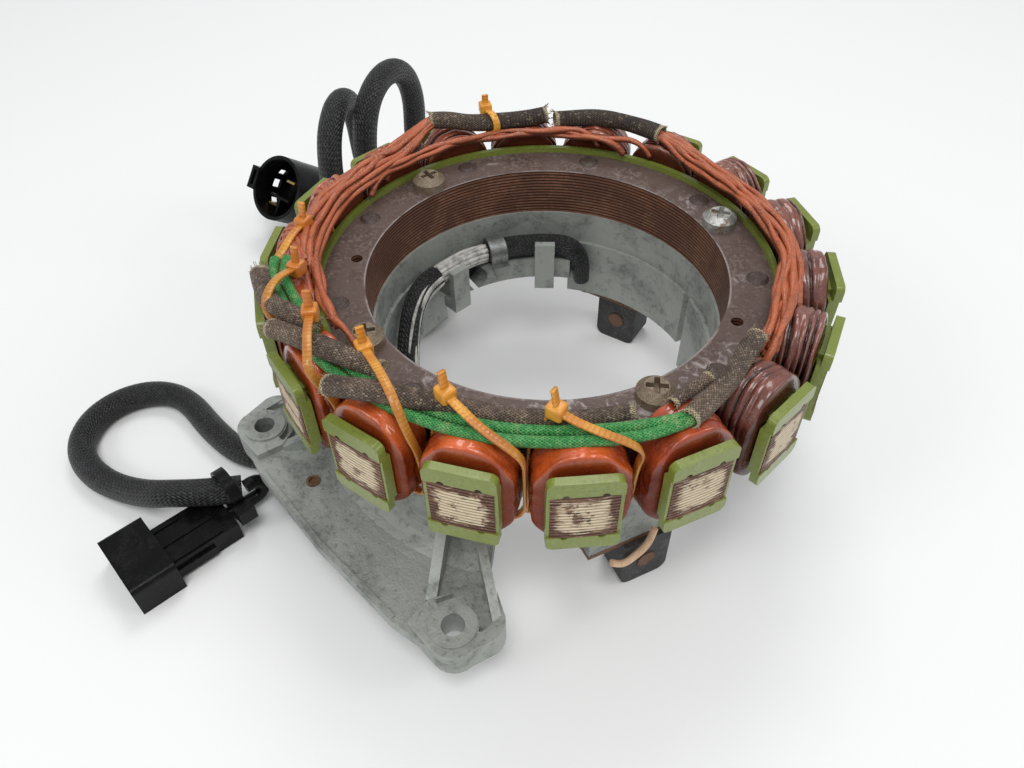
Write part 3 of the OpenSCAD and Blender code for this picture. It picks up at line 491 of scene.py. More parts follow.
def lamp(name, place, target, size, power):
    """A square soft lamp that faces a point: metres and watts."""
    data = bpy.data.lights.new(name, "AREA")
    data.size, data.energy = size, power
    obj = new_object(name, data)
    obj.location = place
    obj.rotation_euler = (Vector(target) - Vector(place)).to_track_quat("-Z", "Y").to_euler()


lamp("key", (0.32, -0.32, 1.1), (0, 0, 0), 0.5, 5.1)
lamp("back", (-0.45, 0.45, 1.0), (-0.35, 0.35, 0), 0.5, 3.4)
lamp("window", (0.75, 0.55, 0.65), (0, 0, 0), 0.3, 1.6)
lamp("front", (-0.2, -0.95, 0.75), (0, 0, 0), 0.35, 2.0)
bpy.context.scene.view_settings.view_transform = "Standard"
print("floor at", round(ground, 4))

# %% [markdown]
# ## Lamination stack
# The stack is a pile of thin steel sheets under dark varnish, with rust and a pale bloom on the upper face.
# The edges of the sheets show as fine lines in the bore and on the pole faces, where the varnish is worn to
# a cream colour. The solid is right as it is, so only its finish changes.

# %% Stack finish
POLES, FIRST, PITCH, SHEETS, STACK_MM = 18, 2.0, 20, 14, 16
pole_place, g, i, o = group("pole place", {"Vector": "v"}, {"Across": "f", "Radius": "f", "Height": "f"})
x, y, z = g.split(i["Vector"])
radius = g.mul(g.math("SQRT", g.add(g.mul(x, x), g.mul(y, y))), 1 / MM)
share = g.add(g.mul(g.math("ARCTAN2", y, x), POLES / (2 * math.pi)), 0.5 - FIRST * POLES / 360)
nearest = g.sub(g.math("FLOORED_MODULO", share, 1.0), 0.5)
put_out(g, o, g.mul(g.mul(nearest, 2 * math.pi / POLES), radius), radius, g.mul(z, 1 / MM))

stack = g = Finish("varnished laminations", Specular_IOR_Level=0.22)
where = g.use(pole_place, Vector=g.place)
level = g.mask(g.math("ABSOLUTE", g.facing()), 0.3, 0.7)
upper = g.stains((98, 81, 75), (84, 66, 60), (130, 115, 109), 95.0, 0.9, 0.6)
edges = g.stains((112, 74, 57), (146, 98, 70), (160, 130, 112), 70.0, 0.7, 0.35)
line = g.mask(g.math("SINE", g.mul(where["Height"], 2 * math.pi * SHEETS / STACK_MM)), -0.75, 0.35)
edge_tone = g.mix(g.mul(g.sub(1.0, line), 0.9), edges["Color"], rgb(34, 19, 14))
drawn_out = {0: g.mul(where["Across"], 0.12), 1: g.mul(where["Height"], 1.1), 2: g.mul(g.split(g.place)[0], 40.0)}
streak = g.noise(g.put("CombineXYZ", drawn_out).outputs[0], 2.2, 5.0, 0.7)
from_side, from_middle = g.math("ABSOLUTE", where["Across"]), g.math("ABSOLUTE", g.sub(where["Height"], 8.2))
edge_fade = g.mul(g.mask(from_side, 8.2, 4.2), g.mask(from_middle, 8.0, 3.6))
scar = g.spots(190.0, 0.5, 0.66, 4.0, 0.65)
kept = g.sub(g.mul(edge_fade, 0.27), g.mul(scar, 0.2))
worn = g.mul(g.mask(g.add(streak, kept), 0.57, 0.7), g.mask(where["Radius"], 83.0, 83.4), clamp=True)
worn_tone = g.mix(g.mul(line, g.add(0.35, streak)), rgb(178, 154, 124), rgb(236, 222, 192))
side_tone = g.mix(worn, edge_tone, worn_tone)
frost = g.mul(g.spots(26.0, 0.5, 0.68, 3.0, 0.5), g.spots(230.0, 0.48, 0.68, 6.0, 0.72, 1.2))
rim = g.mul(g.mask(where["Radius"], 54.3, 53.9), g.spots(90.0, 0.36, 0.56, 4.0, 0.6))
bloom = g.mul(g.math("MAXIMUM", frost, g.mul(rim, 0.5)), 0.75)
top_tone = g.mix(bloom, upper["Color"], rgb(196, 188, 186))
g.feed(Base_Color=g.mix(level, side_tone, top_tone), Roughness=g.add(0.42, g.mul(upper["Fleck mask"], 0.25)))
fine = g.mul(g.use(grain, Vector=g.place, Size=420.0)["Height"], 0.5)
g.bump(g.add(fine, g.mul(g.mul(line, g.sub(1.0, level)), 0.6)), 0.00022)
dress(stack, "stator_core")

# The rivets are darker than the stack's top as painted shade, which stands in for the shadows round their edges.
stained(
    "rivet steel darkened as painted shade", (70, 54, 49), (54, 40, 36), (140, 124, 116), 260.0, 0.8, 0.4,
    on=["core_rivets"], grain=(600.0, 0.0002), Roughness=0.5)
print("stack dressed")

# %% [markdown]
# ## Die-cast plate
# The plate came out of a die with a grey, slightly mottled skin. Handling has left darker smudges and a few
# bright rubs. Broad stains, small flecks and a fine grain give that, with the metal kept dull.

# %% Plate finish
cast, tones = stained(
    "die-cast skin", (166, 170, 164), (136, 140, 135), (94, 96, 93), 60.0, 0.85, 0.45,
    on=["stator_plate"], rough=(0.5, 0.14), grain=(330.0, 0.0003), Metallic=0.3)
rub = cast.mul(cast.spots(210.0, 0.62, 0.74, 4.0, 0.65), 0.35)
cast.feed(Base_Color=cast.mix(rub, tones["Color"], rgb(182, 186, 180)))
stained(
    "dull bronze", (140, 112, 84), (96, 76, 60), (60, 48, 40), 500.0, 0.7, 0.5,
    on=["flange_plug"], Metallic=0.7, Roughness=0.5)
stained(
    "strip steel", (150, 152, 150), (118, 120, 118), (84, 82, 78), 260.0, 0.8, 0.4,
    on=["harness_clamp"], rough=(0.32, 0.2), grain=(700.0, 0.0001), Metallic=0.8)
print("plate dressed")

# %% [markdown]
# ## Insulators
# A moulded green insulator covers each end of the stack, and a liner of the same green lies in each slot.
# The varnish that was poured over the coils has left them satin, with pale dust in places. Three modifiers
# join an insulator's loose triangles, round its sharp edges so that they catch the light, and keep its flat
# faces flat.

# %% Green finish
green, tones = stained(
    "green insulator", (122, 135, 54), (136, 148, 72), (100, 104, 50), 120.0, 0.6, 0.5,
    on=["upper_insulator", "lower_insulator", "slot_liners"],
    grain=(500.0, 0.00012), Coat_Weight=0.25, Coat_Roughness=0.25)
dust = green.spots(320.0, 0.56, 0.75, 5.0, 0.7)
green.feed(Base_Color=green.mix(green.mul(dust, 0.3), tones["Color"], rgb(176, 186, 126)),
           Roughness=green.add(0.3, green.mul(dust, 0.25)))
for name in ("upper_insulator", "lower_insulator"):
    join = nodes[name].modifiers.new("join", "WELD")
    join.merge_threshold = 1e-6
    edge = nodes[name].modifiers.new("edge", "BEVEL")
    edge.width, edge.segments, edge.limit_method = 0.8 * MM, 2, "ANGLE"
    edge.angle_limit = math.radians(35)
    nodes[name].modifiers.new("flat", "WEIGHTED_NORMAL").keep_sharp = True
print("insulators dressed")

# %% [markdown]
# ## Coils
# Each pole carries a coil of thick enamelled wire that was soaked in varnish. In front the varnish has filled
# the grooves and shines; at the left and the back the turns stand out. A coil is a closed profile, with one
# bump for each turn, carried round a rectangle with round corners; smooth random fields let the turns wander.

# %% Coil surfaces
COIL_IN, COIL_LONG, HALF_W, HALF_H, CORNER, MID = 67.95, 12.4, 5.9, 9.6, 3.6, 8.0


def rounded_loop(half_w, half_h, r, straight=10, corner=14):
    """A rectangle with round corners, as points and outward normals: each corner is a quarter circle, and the
    sides between are filled evenly. It starts at the upper right corner."""
    w = np.radians(np.linspace(0, 90, corner) + 90 * np.arange(4)[:, None])
    normals = np.stack([np.cos(w), np.sin(w)], -1)
    arcs = np.array([[[1, 1]], [[-1, 1]], [[-1, -1]], [[1, -1]]]) * (half_w - r, half_h - r) + r * normals
    a, b = arcs[:, -1:], np.roll(arcs, -1, 0)[:, :1]
    sides = a + np.linspace(0, 1, straight + 2)[1:-1, None] * (b - a)
    flats = np.repeat(normals[:, -1:], straight, 1)
    return [np.concatenate(x, 1).reshape(-1, 2) for x in ((arcs, sides), (normals, flats))]


def coil(t, seed, turns, fill, tint):
    """One coil on the pole at angle t. Its depth over the window is a barrel from yoke to shoe, with a dome on
    each side and round ends, minus a groove of its own depth between turns of different widths, plus slow
    swells. The upper side leans in over the yoke. fill is how far the varnish fills the grooves."""
    rng = np.random.default_rng(seed)
    loop, normal = rounded_loop(HALF_W, HALF_H, CORNER)
    s = run_along(loop)[:, None]
    q = 0.5 - 0.5 * np.cos(np.pi * np.linspace(0, 1, 72))[None, :]
    widths = rng.uniform(0.6, 1.4, turns)
    stops = np.append(0, (widths / widths.sum()).cumsum())
    wander = 0.055 * waves(seed, s, 6 * q, low=0.1, high=0.45) * np.sin(np.pi * q)
    turn = np.interp(np.clip(q + wander, 0, 1), stops, np.arange(turns + 1))
    groove = 1 - np.sqrt(np.clip(1 - (2 * (turn % 1.0) - 1) ** 2, 0, 1))
    opening = rng.uniform(0.1, 1.2, turns + 1)[np.round(turn).astype(int)]
    opening = opening * (1 + 0.35 * waves(seed + 7, s, 4 * q, low=0.1, high=0.5))
    cut = np.clip((1 - fill) * opening, 0, 1.2) * groove
    at_yoke, at_shoe = np.clip(1 - q / 0.17, 0, 1), np.clip(1 - (1 - q) / 0.12, 0, 1)
    rounding = np.sqrt((1 - at_yoke**2) * (1 - at_shoe**2))
    barrel = 4.8 + 0.7 * q + 0.6 * np.sin(np.pi * q)
    swell = 0.22 * waves(seed + 50, s, 5 * q, low=0.08, high=0.35)
    swell = swell + 0.13 * waves(seed + 90, 2 * s, 14 * q, low=0.3, high=0.9)
    aside, up = normal[:, :1] ** 2, normal[:, 1:] ** 2
    dome = 1.3 * up * (1 - (loop[:, :1] / HALF_W) ** 2) + 0.5 * aside * (1 - (loop[:, 1:] / HALF_H) ** 2)
    dome = dome - 2.4 * aside * up
    depth = rounding * (barrel + dome + swell - 1.8 * cut)
    lean = 2.4 * np.clip(normal[:, 1:], 0, 1) ** 2 * (1 - q) ** 2 * rounding
    outer_u = 0.15 + q * (COIL_LONG - 0.3) - lean
    ends = np.zeros((len(loop), 1))
    u = np.concatenate([ends, outer_u, ends + COIL_LONG, ends + COIL_LONG / 2], 1)
    v = np.concatenate([ends, depth, ends, ends], 1)
    # dark, kept as the groove layer, is painted shade: it follows the grooves between turns by how deep they are
    # cut, and is full on the faces against the shoe and the pole, fading out at the yoke end.
    dark = np.concatenate([ends, cut * rounding, ends + 1, ends + 1], 1)
    flat = loop[:, None] + v[..., None] * normal[:, None]
    x, y = COIL_IN + u, flat[..., 0]
    c, d = math.cos(math.radians(t)), math.sin(math.radians(t))
    points = np.stack([c * x - d * y, d * x + c * y, MID + flat[..., 1]], -1)
    uv = np.stack([u, np.broadcast_to(s, u.shape)], -1)
    colour = np.broadcast_to(np.array(tint), points.shape)
    return grid(points[::-1], around=True, along=True, uv=uv[::-1], groove=dark[::-1], tint=colour)


varnish = g = Finish("varnished copper", Coat_Roughness=0.07)
tint = g.put("Attribute", attribute_name="tint").outputs["Color"]
groove = g.put("Attribute", attribute_name="groove").outputs["Fac"]
pool = g.spots(110.0, 0.4, 0.66, 5.0, 0.6, 0.8)
darker = g.mix(1.0, tint, (0.42, 0.34, 0.34, 1), "MULTIPLY")
lighter = g.mix(1.0, tint, (1.35, 1.45, 1.6, 1), "MULTIPLY")
body_tone = g.mix(g.mul(pool, 0.7), tint, darker)
haze = g.spots(480.0, 0.56, 0.74, 4.0, 0.7)
body_tone = g.mix(g.mul(haze, 0.3), body_tone, lighter)
facing = g.facing()
# Painted shade: each coil's sides and underside are darkened as their faces turn from up to level and below.
side = g.mask(facing, 0.85, 0.0)
body_tone = g.mix(g.mul(side, 0.85), body_tone, g.mix(1.0, darker, (0.45, 0.4, 0.4, 1), "MULTIPLY"))
gloss = g.mask(facing, -0.1, 0.45, 0.12, 1.0)
g.feed(Coat_Weight=gloss, Specular_IOR_Level=g.mul(gloss, 0.5))
# Painted shade: near black where the groove layer is high, in the grooves between turns and on the faces hidden
# against the pole.
g.feed(Base_Color=g.mix(g.mask(groove, 0.12, 0.42), body_tone, rgb(24, 8, 5)))
g.feed(Roughness=g.add(0.26, g.mul(haze, 0.3)))
g.grain(380.0, 0.00025)

TINTS = ((0, (128, 70, 56)), (40, (134, 76, 62)), (80, (146, 82, 60)), (120, (160, 84, 56)), (160, (178, 92, 62)),
         (200, (190, 98, 68)), (240, (190, 88, 50)), (280, (224, 104, 46)), (322, (220, 98, 44)),
         (342, (192, 82, 44)), (360, (134, 72, 56)))
FILLS = ((2, 0.5), (22, 0.0), (42, 0.45), (62, 0.4), (82, 0.2), (162, 0.15), (222, 0.15), (242, 0.35),
         (262, 0.55), (282, 0.75), (322, 0.85), (342, 0.85), (362, 0.55))


def along_ring(stops, t):
    """A value read from stops of angle and value, in between by straight lines."""
    angles, values = zip(*stops)
    return [np.interp(t % 360, angles, column) for column in np.array(values, float).reshape(len(stops), -1).T]


for phase, name in enumerate(("phase_u_coils", "phase_v_coils", "phase_w_coils")):
    coils = []
    for k in range(phase, POLES, 3):
        t = FIRST + PITCH * k
        colour = rgb(*along_ring(TINTS, t))[:3]
        coils.append(coil(t, 100 + k, 5 + k % 2, along_ring(FILLS, t)[0], colour))
    piece(name + "_wound", coils, varnish, "copper_wire", name)

# %% [markdown]
# ## Leads on the windings
# Varnished wires leave the coils and run round the ring in loose bundles. Each is a thin tube on its own
# wandering line that lies on the tops of the coils. Where a bundle meets a sleeve, its wires come together.

# %% Lead bundles
leads, tones = stained(
    "varnished leads", (184, 94, 54), (134, 58, 33), (222, 150, 106), 210.0, 0.85, 0.5,
    grain=(500.0, 0.0003), Roughness=0.42, Coat_Weight=0.3, Coat_Roughness=0.25)
shade = leads.mask(leads.facing(), 0.6, -0.2, 0.0, 0.75)
leads.feed(Base_Color=leads.mix(shade, tones["Color"], rgb(70, 26, 16)))


def lumpy(stations, sides, step, share, seed, **band):
    """Lumps of a tube: 1 + share * a smooth field of the way along, in steps, and of the angle around."""
    s, w = np.arange(stations)[:, None] * step, angles_round(sides)
    return 1 + share * waves(seed, s, 2 * np.cos(w), 2 * np.sin(w), **band)


def bundle(centre, spans, aside, levels, seed, gather=None):
    """Several wires side by side. centre gives stops of angle and radius for the middle of the bundle; each wire
    has its own span of angles, its place aside of the middle and its level, wanders slowly, dives between the
    coils at both ends, and swells where varnish has gathered. gather names the end, 0 or 1, and the height at
    which the wires come together instead, to go into a sleeve."""
    wires = []
    for k, (span, out, z) in enumerate(zip(spans, aside, levels)):
        t = np.linspace(*span, max(10, int(abs(span[1] - span[0]) / 3)))
        drift = out + 0.7 * waves(seed + k, t, low=0.05, high=0.3)
        lift = z + 0.35 * waves(seed + 20 + k, t, low=0.08, high=0.35)
        for end in (0, 1):
            if gather and gather[0] == end:
                close = np.exp(-(((t - span[end]) / 8) ** 2))
                drift, lift = drift * (1 - 0.6 * close), lift + (gather[1] + 0.4 * (z - 24.5) - lift) * close
            else:
                lift = lift - 4 * np.exp(-(((t - span[end]) / 2.5) ** 2))
        line = spline(polar(along_ring(centre, t)[0] + drift, t, lift), 0.9)
        wires.append(tube(line, 1.0, 10, lumps=lumpy(len(line), 10, 1, 0.2, seed + 60 + k, low=0.15, high=0.6)))
    return wires


def risers(poles, seed):
    """Wires that come up from the outer side of a coil, cross its top and join the bundle further round."""
    rng = np.random.default_rng(seed)
    wires = []
    for t in poles:
        for side in (-3.6, -1.2, 1.2, 3.4):
            a, b = side + rng.uniform(-0.7, 0.7, 2)
            angles = [t + a, t + a, t + b + 1, t + b + 5, t + b + 11]
            heights = [20.5, 23.2, 24.7 + rng.uniform(-0.3, 0.5), 25.4, 25.3]
            path = spline(polar([79.2, 78.2, 75.2, 71.6, 68.9], angles, heights), 1.2)
            wires.append(tube(path, rng.uniform(0.9, 1.25), 10))
    return wires


LEFT = ((167, 74.6), (173, 72.6), (182, 70.2), (200, 69.8), (232, 69.4), (262, 67.2))
RIGHT = ((10, 69.6), (22, 67.8), (40, 68.4), (56, 68.2), (66, 67), (80, 66.6), (92, 68.6), (104, 71.4))
left_ends = (264, 254, 246, 236, 233, 231, 230, 257, 240, 234, 232, 230, 236, 233)
left_aside = (-3.4, -2.2, -0.8, 0.6, 2, 3.4, 4.8, -2.8, -1.5, -0.1, 1.3, 2.7, -0.8, 0.7)
left_levels = (23.4, 23.5, 23.7, 23.8, 24, 24.1, 24.3, 24.9, 25.1, 25.3, 25.5, 25.6, 26.5, 26.7)
left = bundle(LEFT, [(167.5, t1) for t1 in left_ends], left_aside, left_levels, 10, gather=(0, 29.2))
back_spans = ((112, 196), (104, 188), (120, 192))
left += bundle(((98, 65.8), (198, 66.4)), back_spans, (-0.4, 1, 0.2), (23.2, 23.4, 24.4), 80)
piece("left_leads", left + risers((182, 202, 222), 21), leads, "lead_varnish", "left_lead_bundle")
right_starts = (9, 10, 8, 12, 9, 11, 10, 28)
right_aside = (-2.2, -0.8, 0.6, 1.9, -1.5, -0.1, 1.2, 3.2)
right_levels = (23.5, 23.7, 23.9, 24, 24.9, 25.2, 25.3, 24.4)
right_wires = bundle(RIGHT, [(t0, 104.5) for t0 in right_starts], right_aside, right_levels, 40, gather=(1, 26.2))
piece("right_leads", right_wires, leads, "lead_varnish", "right_lead_bundle")

# %% [markdown]
# ## Braided sleeves
# Joints in the leads are covered by woven sleeves soaked in varnish. They are a little flat, and their cut
# ends have frayed to a cream fringe. The weave is drawn by the braid group on the sleeve's own map.

# %% Sleeves
woven = g = Finish("varnished sleeve", Roughness=0.62)
cross = g.weave(1.3, 0.95, 0.0006)
end = g.put("Attribute", attribute_name="end").outputs["Fac"]
age = g.spots(120.0, 0.4, 0.7, 4.0, 0.6)
dark, light = g.mix(age, rgb(110, 92, 79), rgb(74, 62, 55)), g.mix(age, rgb(156, 135, 115), rgb(106, 91, 79))
thread = g.mix(cross["Thread"], dark, light)
# The threads are darker towards the back of the ring, from y = 0 to 45 mm.
darker_towards_back = g.mask(g.split(g.place)[1], 0.0, 0.045)
thread = g.mix(g.mul(darker_towards_back, 0.75), thread, rgb(44, 38, 35))
pale_thread = g.mul(g.mask(cross["Thread"], 0.7, 0.8), g.spots(420.0, 0.46, 0.62, 3.0, 0.6))
thread = g.mix(g.mul(pale_thread, 0.4), thread, rgb(206, 186, 158))
ragged = g.add(end, g.mul(g.noise(g.place, 700.0, 3.0, 0.6), 2.6))
thread = g.mix(g.mask(ragged, 2.8, 1.6), thread, rgb(218, 200, 164))
# Painted shade: dark brown in the gaps between threads and inside the hollow ends of each sleeve.
gap_and_end_shade = g.math("MAXIMUM", cross["Gap"], g.mask(end, -0.2, -0.9))
g.feed(Base_Color=g.mix(gap_and_end_shade, thread, rgb(44, 34, 30)))

SLEEVES = {
    "back_sleeve_long": (6.0, [75, 72.5, 70.8, 70.3, 71, 72.5], [168, 163, 158, 152, 142, 136],
        [29.4, 29, 27.6, 26.8, 26.6, 27]),
    "back_sleeve_short": (6.0, [70, 72.5, 73.5, 73, 71.5], [133.5, 126, 119, 111, 103],
        [26.4, 26.4, 26.5, 26.4, 26.3]),
    "left_sleeve_outer": (5.4, [81.1, 80.2, 78.6, 75.9, 73.3, 70.6], [237.8, 243.9, 250.4, 254.2, 257.2, 259.6],
        [26.7, 27.2, 28.8, 29.2, 28.4, 27.2]),
    "left_sleeve_inner": (5.6, [80.9, 78.5, 75.8, 73.1, 70.8, 68.6, 67.6],
        [255, 259, 264.1, 269.1, 272.9, 276.6, 279.2], [26.6, 28.2, 29.3, 29.2, 28.2, 27, 26.6]),
    "front_sleeve": ([5.6, 5.6, 5.6, 5.6, 5.4, 5.2, 4.8, 4.6, 4.4, 4.2, 4],
        [79.5, 78.4, 76.4, 73.4, 70.3, 68.6, 68, 67.9, 67.9, 67.8, 67.7],
        [274.6, 277.8, 282, 286.8, 291.8, 297.5, 304.1, 311.5, 319, 326, 333],
        [26.8, 28.4, 29.2, 28.4, 26.8, 25.8, 25.2, 25, 24.9, 24.7, 24.7]),
    "right_sleeve_large": (5.4, [76, 73.4, 71, 68.3, 66.9, 66.2], [341, 346.5, 353, 360, 365, 369.5],
        [26.45, 26.15, 25.9, 25.6, 25.4, 25.2]),
    "right_sleeve_small": (3.4, [69.1, 67.8, 66.8, 66.1], [341, 345, 349, 352.5], [24.65, 24.6, 24.5, 24.4]),
}


def fringe(line, radius, count, seed):
    """Loose threads at both ends of a sleeve: each is a thin tube on a curve that leaves the rim along the
    line and bends outwards by a random amount."""
    rng = np.random.default_rng(seed)
    d, side, up = side_vectors(line)
    f = np.linspace(0, 1, 4)[:, None]
    threads = []
    for i, outwards in ((0, -1), (-1, 1)):
        draws = [rng.uniform(low, high, count) for low, high in ((0, 2 * np.pi), (0.6, 2.0), (-0.2, 0.7))]
        for w, reach, bend in zip(*draws):
            rim = math.cos(w) * side[i] + math.sin(w) * up[i]
            root = line[i] + 0.93 * radius[i] * rim
            curve = root + outwards * d[i] * (f * reach - 0.5) + rim * bend * reach * f**2
            threads.append(tube(curve, 0.11, 3, ends=True))
    return threads


for k, (name, (d, r, t, z)) in enumerate(SLEEVES.items()):
    line = spline(polar(r, t, z), 0.8)
    half = np.interp(np.linspace(0, 1, len(line)), np.linspace(0, 1, len(r)), np.broadcast_to(d, len(r))) / 2
    lumps = lumpy(len(line), 20, 0.8, 0.035, 300 + k, low=0.1, high=0.5)
    body = tube(line, half, 20, flat=0.92, hollow=2.5, lumps=lumps, ends=True)
    piece(name + "_woven", [body] + fringe(line, half, 26, 340 + k), woven, "sleeve", name)

# %% [markdown]
# ## Green leads
# Two cloth-covered leads run side by side along the front of the ring.

# %% Green leads
cloth = g = Finish("green cloth lead", Roughness=0.45)
cross = g.weave(1.3, 0.9, 0.0003)
tone = g.mix(cross["Thread"], rgb(46, 138, 66), rgb(92, 178, 98))
tone = g.mix(g.spots(300.0, 0.5, 0.75, 4.0, 0.6), tone, rgb(148, 186, 118))
# Painted shade: dark green in the gaps between threads.
g.feed(Base_Color=g.mix(cross["Gap"], tone, rgb(6, 52, 32)))
route_t = [234, 240, 248, 258, 268, 278, 289, 300, 312, 325, 335, 342]
route_z = [26.8, 26.3, 25.2, 25, 25, 25, 25, 25, 25, 25, 25.3, 26.2]
route_r = np.array([77.2, 77.6, 75.8, 75.4, 74.9, 74.6, 74.6, 74.9, 75, 75.2, 76, 76.1])
inwards = np.array([3.3] * 9 + [3.2, 2.6, 1.0])
for name, shift in (("green_lead_outer", 0.0), ("green_lead_inner", 1.0)):
    line = spline(polar(route_r - shift * inwards, route_t, route_z), 0.8)
    piece(name + "_cloth", [tube(line, 1.45, 16)], cloth, "green_pvc", name)

# %% [markdown]
# ## Cable ties
# Six nylon ties, turned amber by the varnish, hold the leads to the poles. Each goes up one slot, over the
# leads and down the next. A tie is a flat profile carried along its line, with the fine teeth of the strap
# as small steps, and a square head with a cut tail. A seventh tie goes once round the long sleeve at the back.

# %% Ties
amber = g = Finish("amber nylon", Roughness=0.32, Coat_Weight=0.3, Subsurface_Weight=0.25, Subsurface_Scale=0.003,
                   Subsurface_Radius=(1.0, 0.5, 0.15))
tone = g.mix(g.spots(90.0, 0.38, 0.66, 3.0, 0.5), rgb(240, 172, 64), rgb(208, 126, 48))
x, y = g.split(g.place)[:2]
away = g.math("SQRT", g.add(g.mul(x, x), g.mul(y, y)))
tone = g.mix(g.mask(away, 0.071, 0.081, 0.0, 0.6), tone, rgb(146, 92, 40))
along_strap = g.split(g.put("UVMap").outputs[0])[1]
rung = g.mask(g.math("SINE", g.mul(along_strap, 2 * math.pi / 1.3)), 0.3, 0.85)
g.feed(Base_Color=g.mix(g.mul(rung, 0.4), tone, rgb(160, 96, 40)))
g.grain(600.0, 0.0001)


def ribbon(points, widths, wide, thick, tooth=0.0):
    """A flat strap. Points and width directions are smoothed by cutting corners, three times, each corner
    giving way to two points a quarter of the way along its sides. Eight points of a rectangle with cut
    corners are carried along, and the outer face rises and falls by the height of a tooth."""
    p = np.concatenate([np.asarray(points, float), np.asarray(widths, float)], 1)
    for _ in range(3):
        cut = np.stack([0.75 * p[:-1] + 0.25 * p[1:], 0.25 * p[:-1] + 0.75 * p[1:]], 1).reshape(-1, 6)
        p = np.concatenate([p[:1], cut, p[-1:]])
    run = run_along(p[:, :3])
    s = np.linspace(0, run[-1], int(run[-1] / 0.3) + 4)
    p = np.stack([np.interp(s, run, p[:, c]) for c in range(6)], -1)
    line, d = p[:, :3], unit(np.gradient(p[:, :3], axis=0))
    side = unit(p[:, 3:] - (p[:, 3:] * d).sum(1, keepdims=True) * d)
    out = np.cross(side, d)
    w, h, e = wide / 2, thick / 2, 0.2
    a = np.array([w - e, w, w, w - e, e - w, -w, -w, e - w])
    b = np.array([-h, e - h, h - e, h, h, h - e, e - h, -h])
    teeth = tooth * (np.abs((s / 1.2) % 1.0 - 0.5) * 2 - 0.5)[:, None] * np.array([0, 0, 0, 1, 1, 0, 0, 0])
    rows = line[:, None] + a[None, :, None] * side[:, None] + (b + teeth)[..., None] * out[:, None]
    rows = np.concatenate([np.repeat(line[:1, None], 8, 1), rows, np.repeat(line[-1:, None], 8, 1)])
    return grid(rows, around=True)


def block(centre, ahead, half, square=7.0):
    """A moulded block: a rounded square in plan, r(w) = (|cos w|^k + |sin w|^k)^(-1/k), carried up a profile
    whose corners are rounded the same way, and turned to face along a level direction."""
    w = angles_round(40)
    h = np.linspace(-np.pi / 2, np.pi / 2, 25)[:, None]
    plan, rise = [(np.abs(np.cos(a)) ** square + np.abs(np.sin(a)) ** square) ** (-1 / square) for a in (w, h)]
    level = rise * np.cos(h) * plan
    x, y = level * np.cos(w) * half[0], level * np.sin(w) * half[1]
    z = rise * np.sin(h) * half[2] * np.ones_like(w)
    ahead = unit(np.array([ahead[0], ahead[1], 0.0]))
    aside = np.array([-ahead[1], ahead[0], 0.0])
    points = centre + x[..., None] * ahead + y[..., None] * aside + z[..., None] * UP
    return grid(points, around=True, uv=np.zeros((*points.shape[:2], 2)))


TIES = (
    ((72, 221.1, 27.6), [(74.1, 225.5, 27.2), (75.9, 230.2, 26)]),
    ((70.8, 239.6, 28.6), [(75.4, 244, 31), (78.8, 249, 32.3), (81, 251.3, 29.4)]),
    ((71.6, 259.2, 32), [(75, 264, 32.9), (78.4, 268.4, 32.3), (81.6, 271.6, 30)]),
    ((66.5, 273, 28.8), [(70.7, 281, 31.8), (74.6, 286.2, 32.6), (77.6, 289.6, 30.4)]),
    ((69.2, 295.9, 30.2), [(72, 299.8, 29.4), (75.2, 304.6, 27.6), (78.6, 309.8, 26.2)]),
    ((69.2, 317.5, 29.4), [(71.9, 320.8, 28.4), (75.2, 325.4, 27.4), (78.4, 330, 26)]))
LOW, WIDE, THICK = -9.05, 2.3, 0.9
straps = []
for k, (head, lifts) in enumerate(TIES):
    t0 = 212 + PITCH * k
    t1 = t0 + PITCH
    radial0, radial1 = polar(1, t0, 0), polar(1, t1, 0)
    top = polar(*head)
    over = [top] + [polar(*x) for x in lifts]
    sides = [unit(np.cross(b - a, UP)) for a, b in zip(over[:-1], over[1:])]
    inner = [polar(69.4, t0, LOW), polar(69.4, t0, 12), polar(68.6, t0 + 1, 21),
             polar(head[0] - 1, (t0 + head[1]) / 2, 24.5), top]
    path = over + [polar(79, t1, 23), polar(76, t1, 14), polar(74.5, t1, LOW), polar(69.4, t0, LOW)]
    below = unit(np.cross(path[-1] - path[-2], -UP))
    lean = unit(over[0] - over[1]) * np.array([0.4, 0.4, 0])
    tail = top + UP * np.array([[1.5], [4.0], [6.4]]) + lean * np.array([[0], [1.0], [2.2]])
    straps += [ribbon(inner, [radial0] * 3 + [sides[0]] * 2, WIDE, THICK, 0.1),
               ribbon(path, sides + [unit(sides[-1] + radial1), *[radial1] * 3, below], WIDE, THICK, 0.12),
               block(top, over[1] - over[0], (2.2, 2.1, 2.0)), ribbon(tail, [sides[0]] * 3, 2.2, THICK, 0.2)]
piece("ties_ribbed", straps, amber, "tie_nylon", "cable_ties")

middle, onward = polar(70.3, 152, 26.8), unit(polar(71, 142, 26.6) - polar(70.8, 158, 27.6))
aside = unit(np.cross(onward, UP))
w = np.radians(np.linspace(130, 490, 25))[:, None]
loop = middle + 3.7 * (np.cos(w) * aside + np.sin(w) * UP) + 1.6 * np.cos(w) * onward
w = math.radians(128)
head = middle + 4.9 * (math.cos(w) * aside + math.sin(w) * UP) - onward
stub = head + UP * np.array([[1.2], [3], [4.6]])
back_tie = [ribbon(loop, [onward] * 25, WIDE, THICK, 0.1), block(head, aside, (2.1, 2.1, 1.9)),
            ribbon(stub, [onward] * 3, 2.2, THICK, 0.1)]
piece("back_tie_ribbed", back_tie, amber, "tie_nylon", "back_tie")
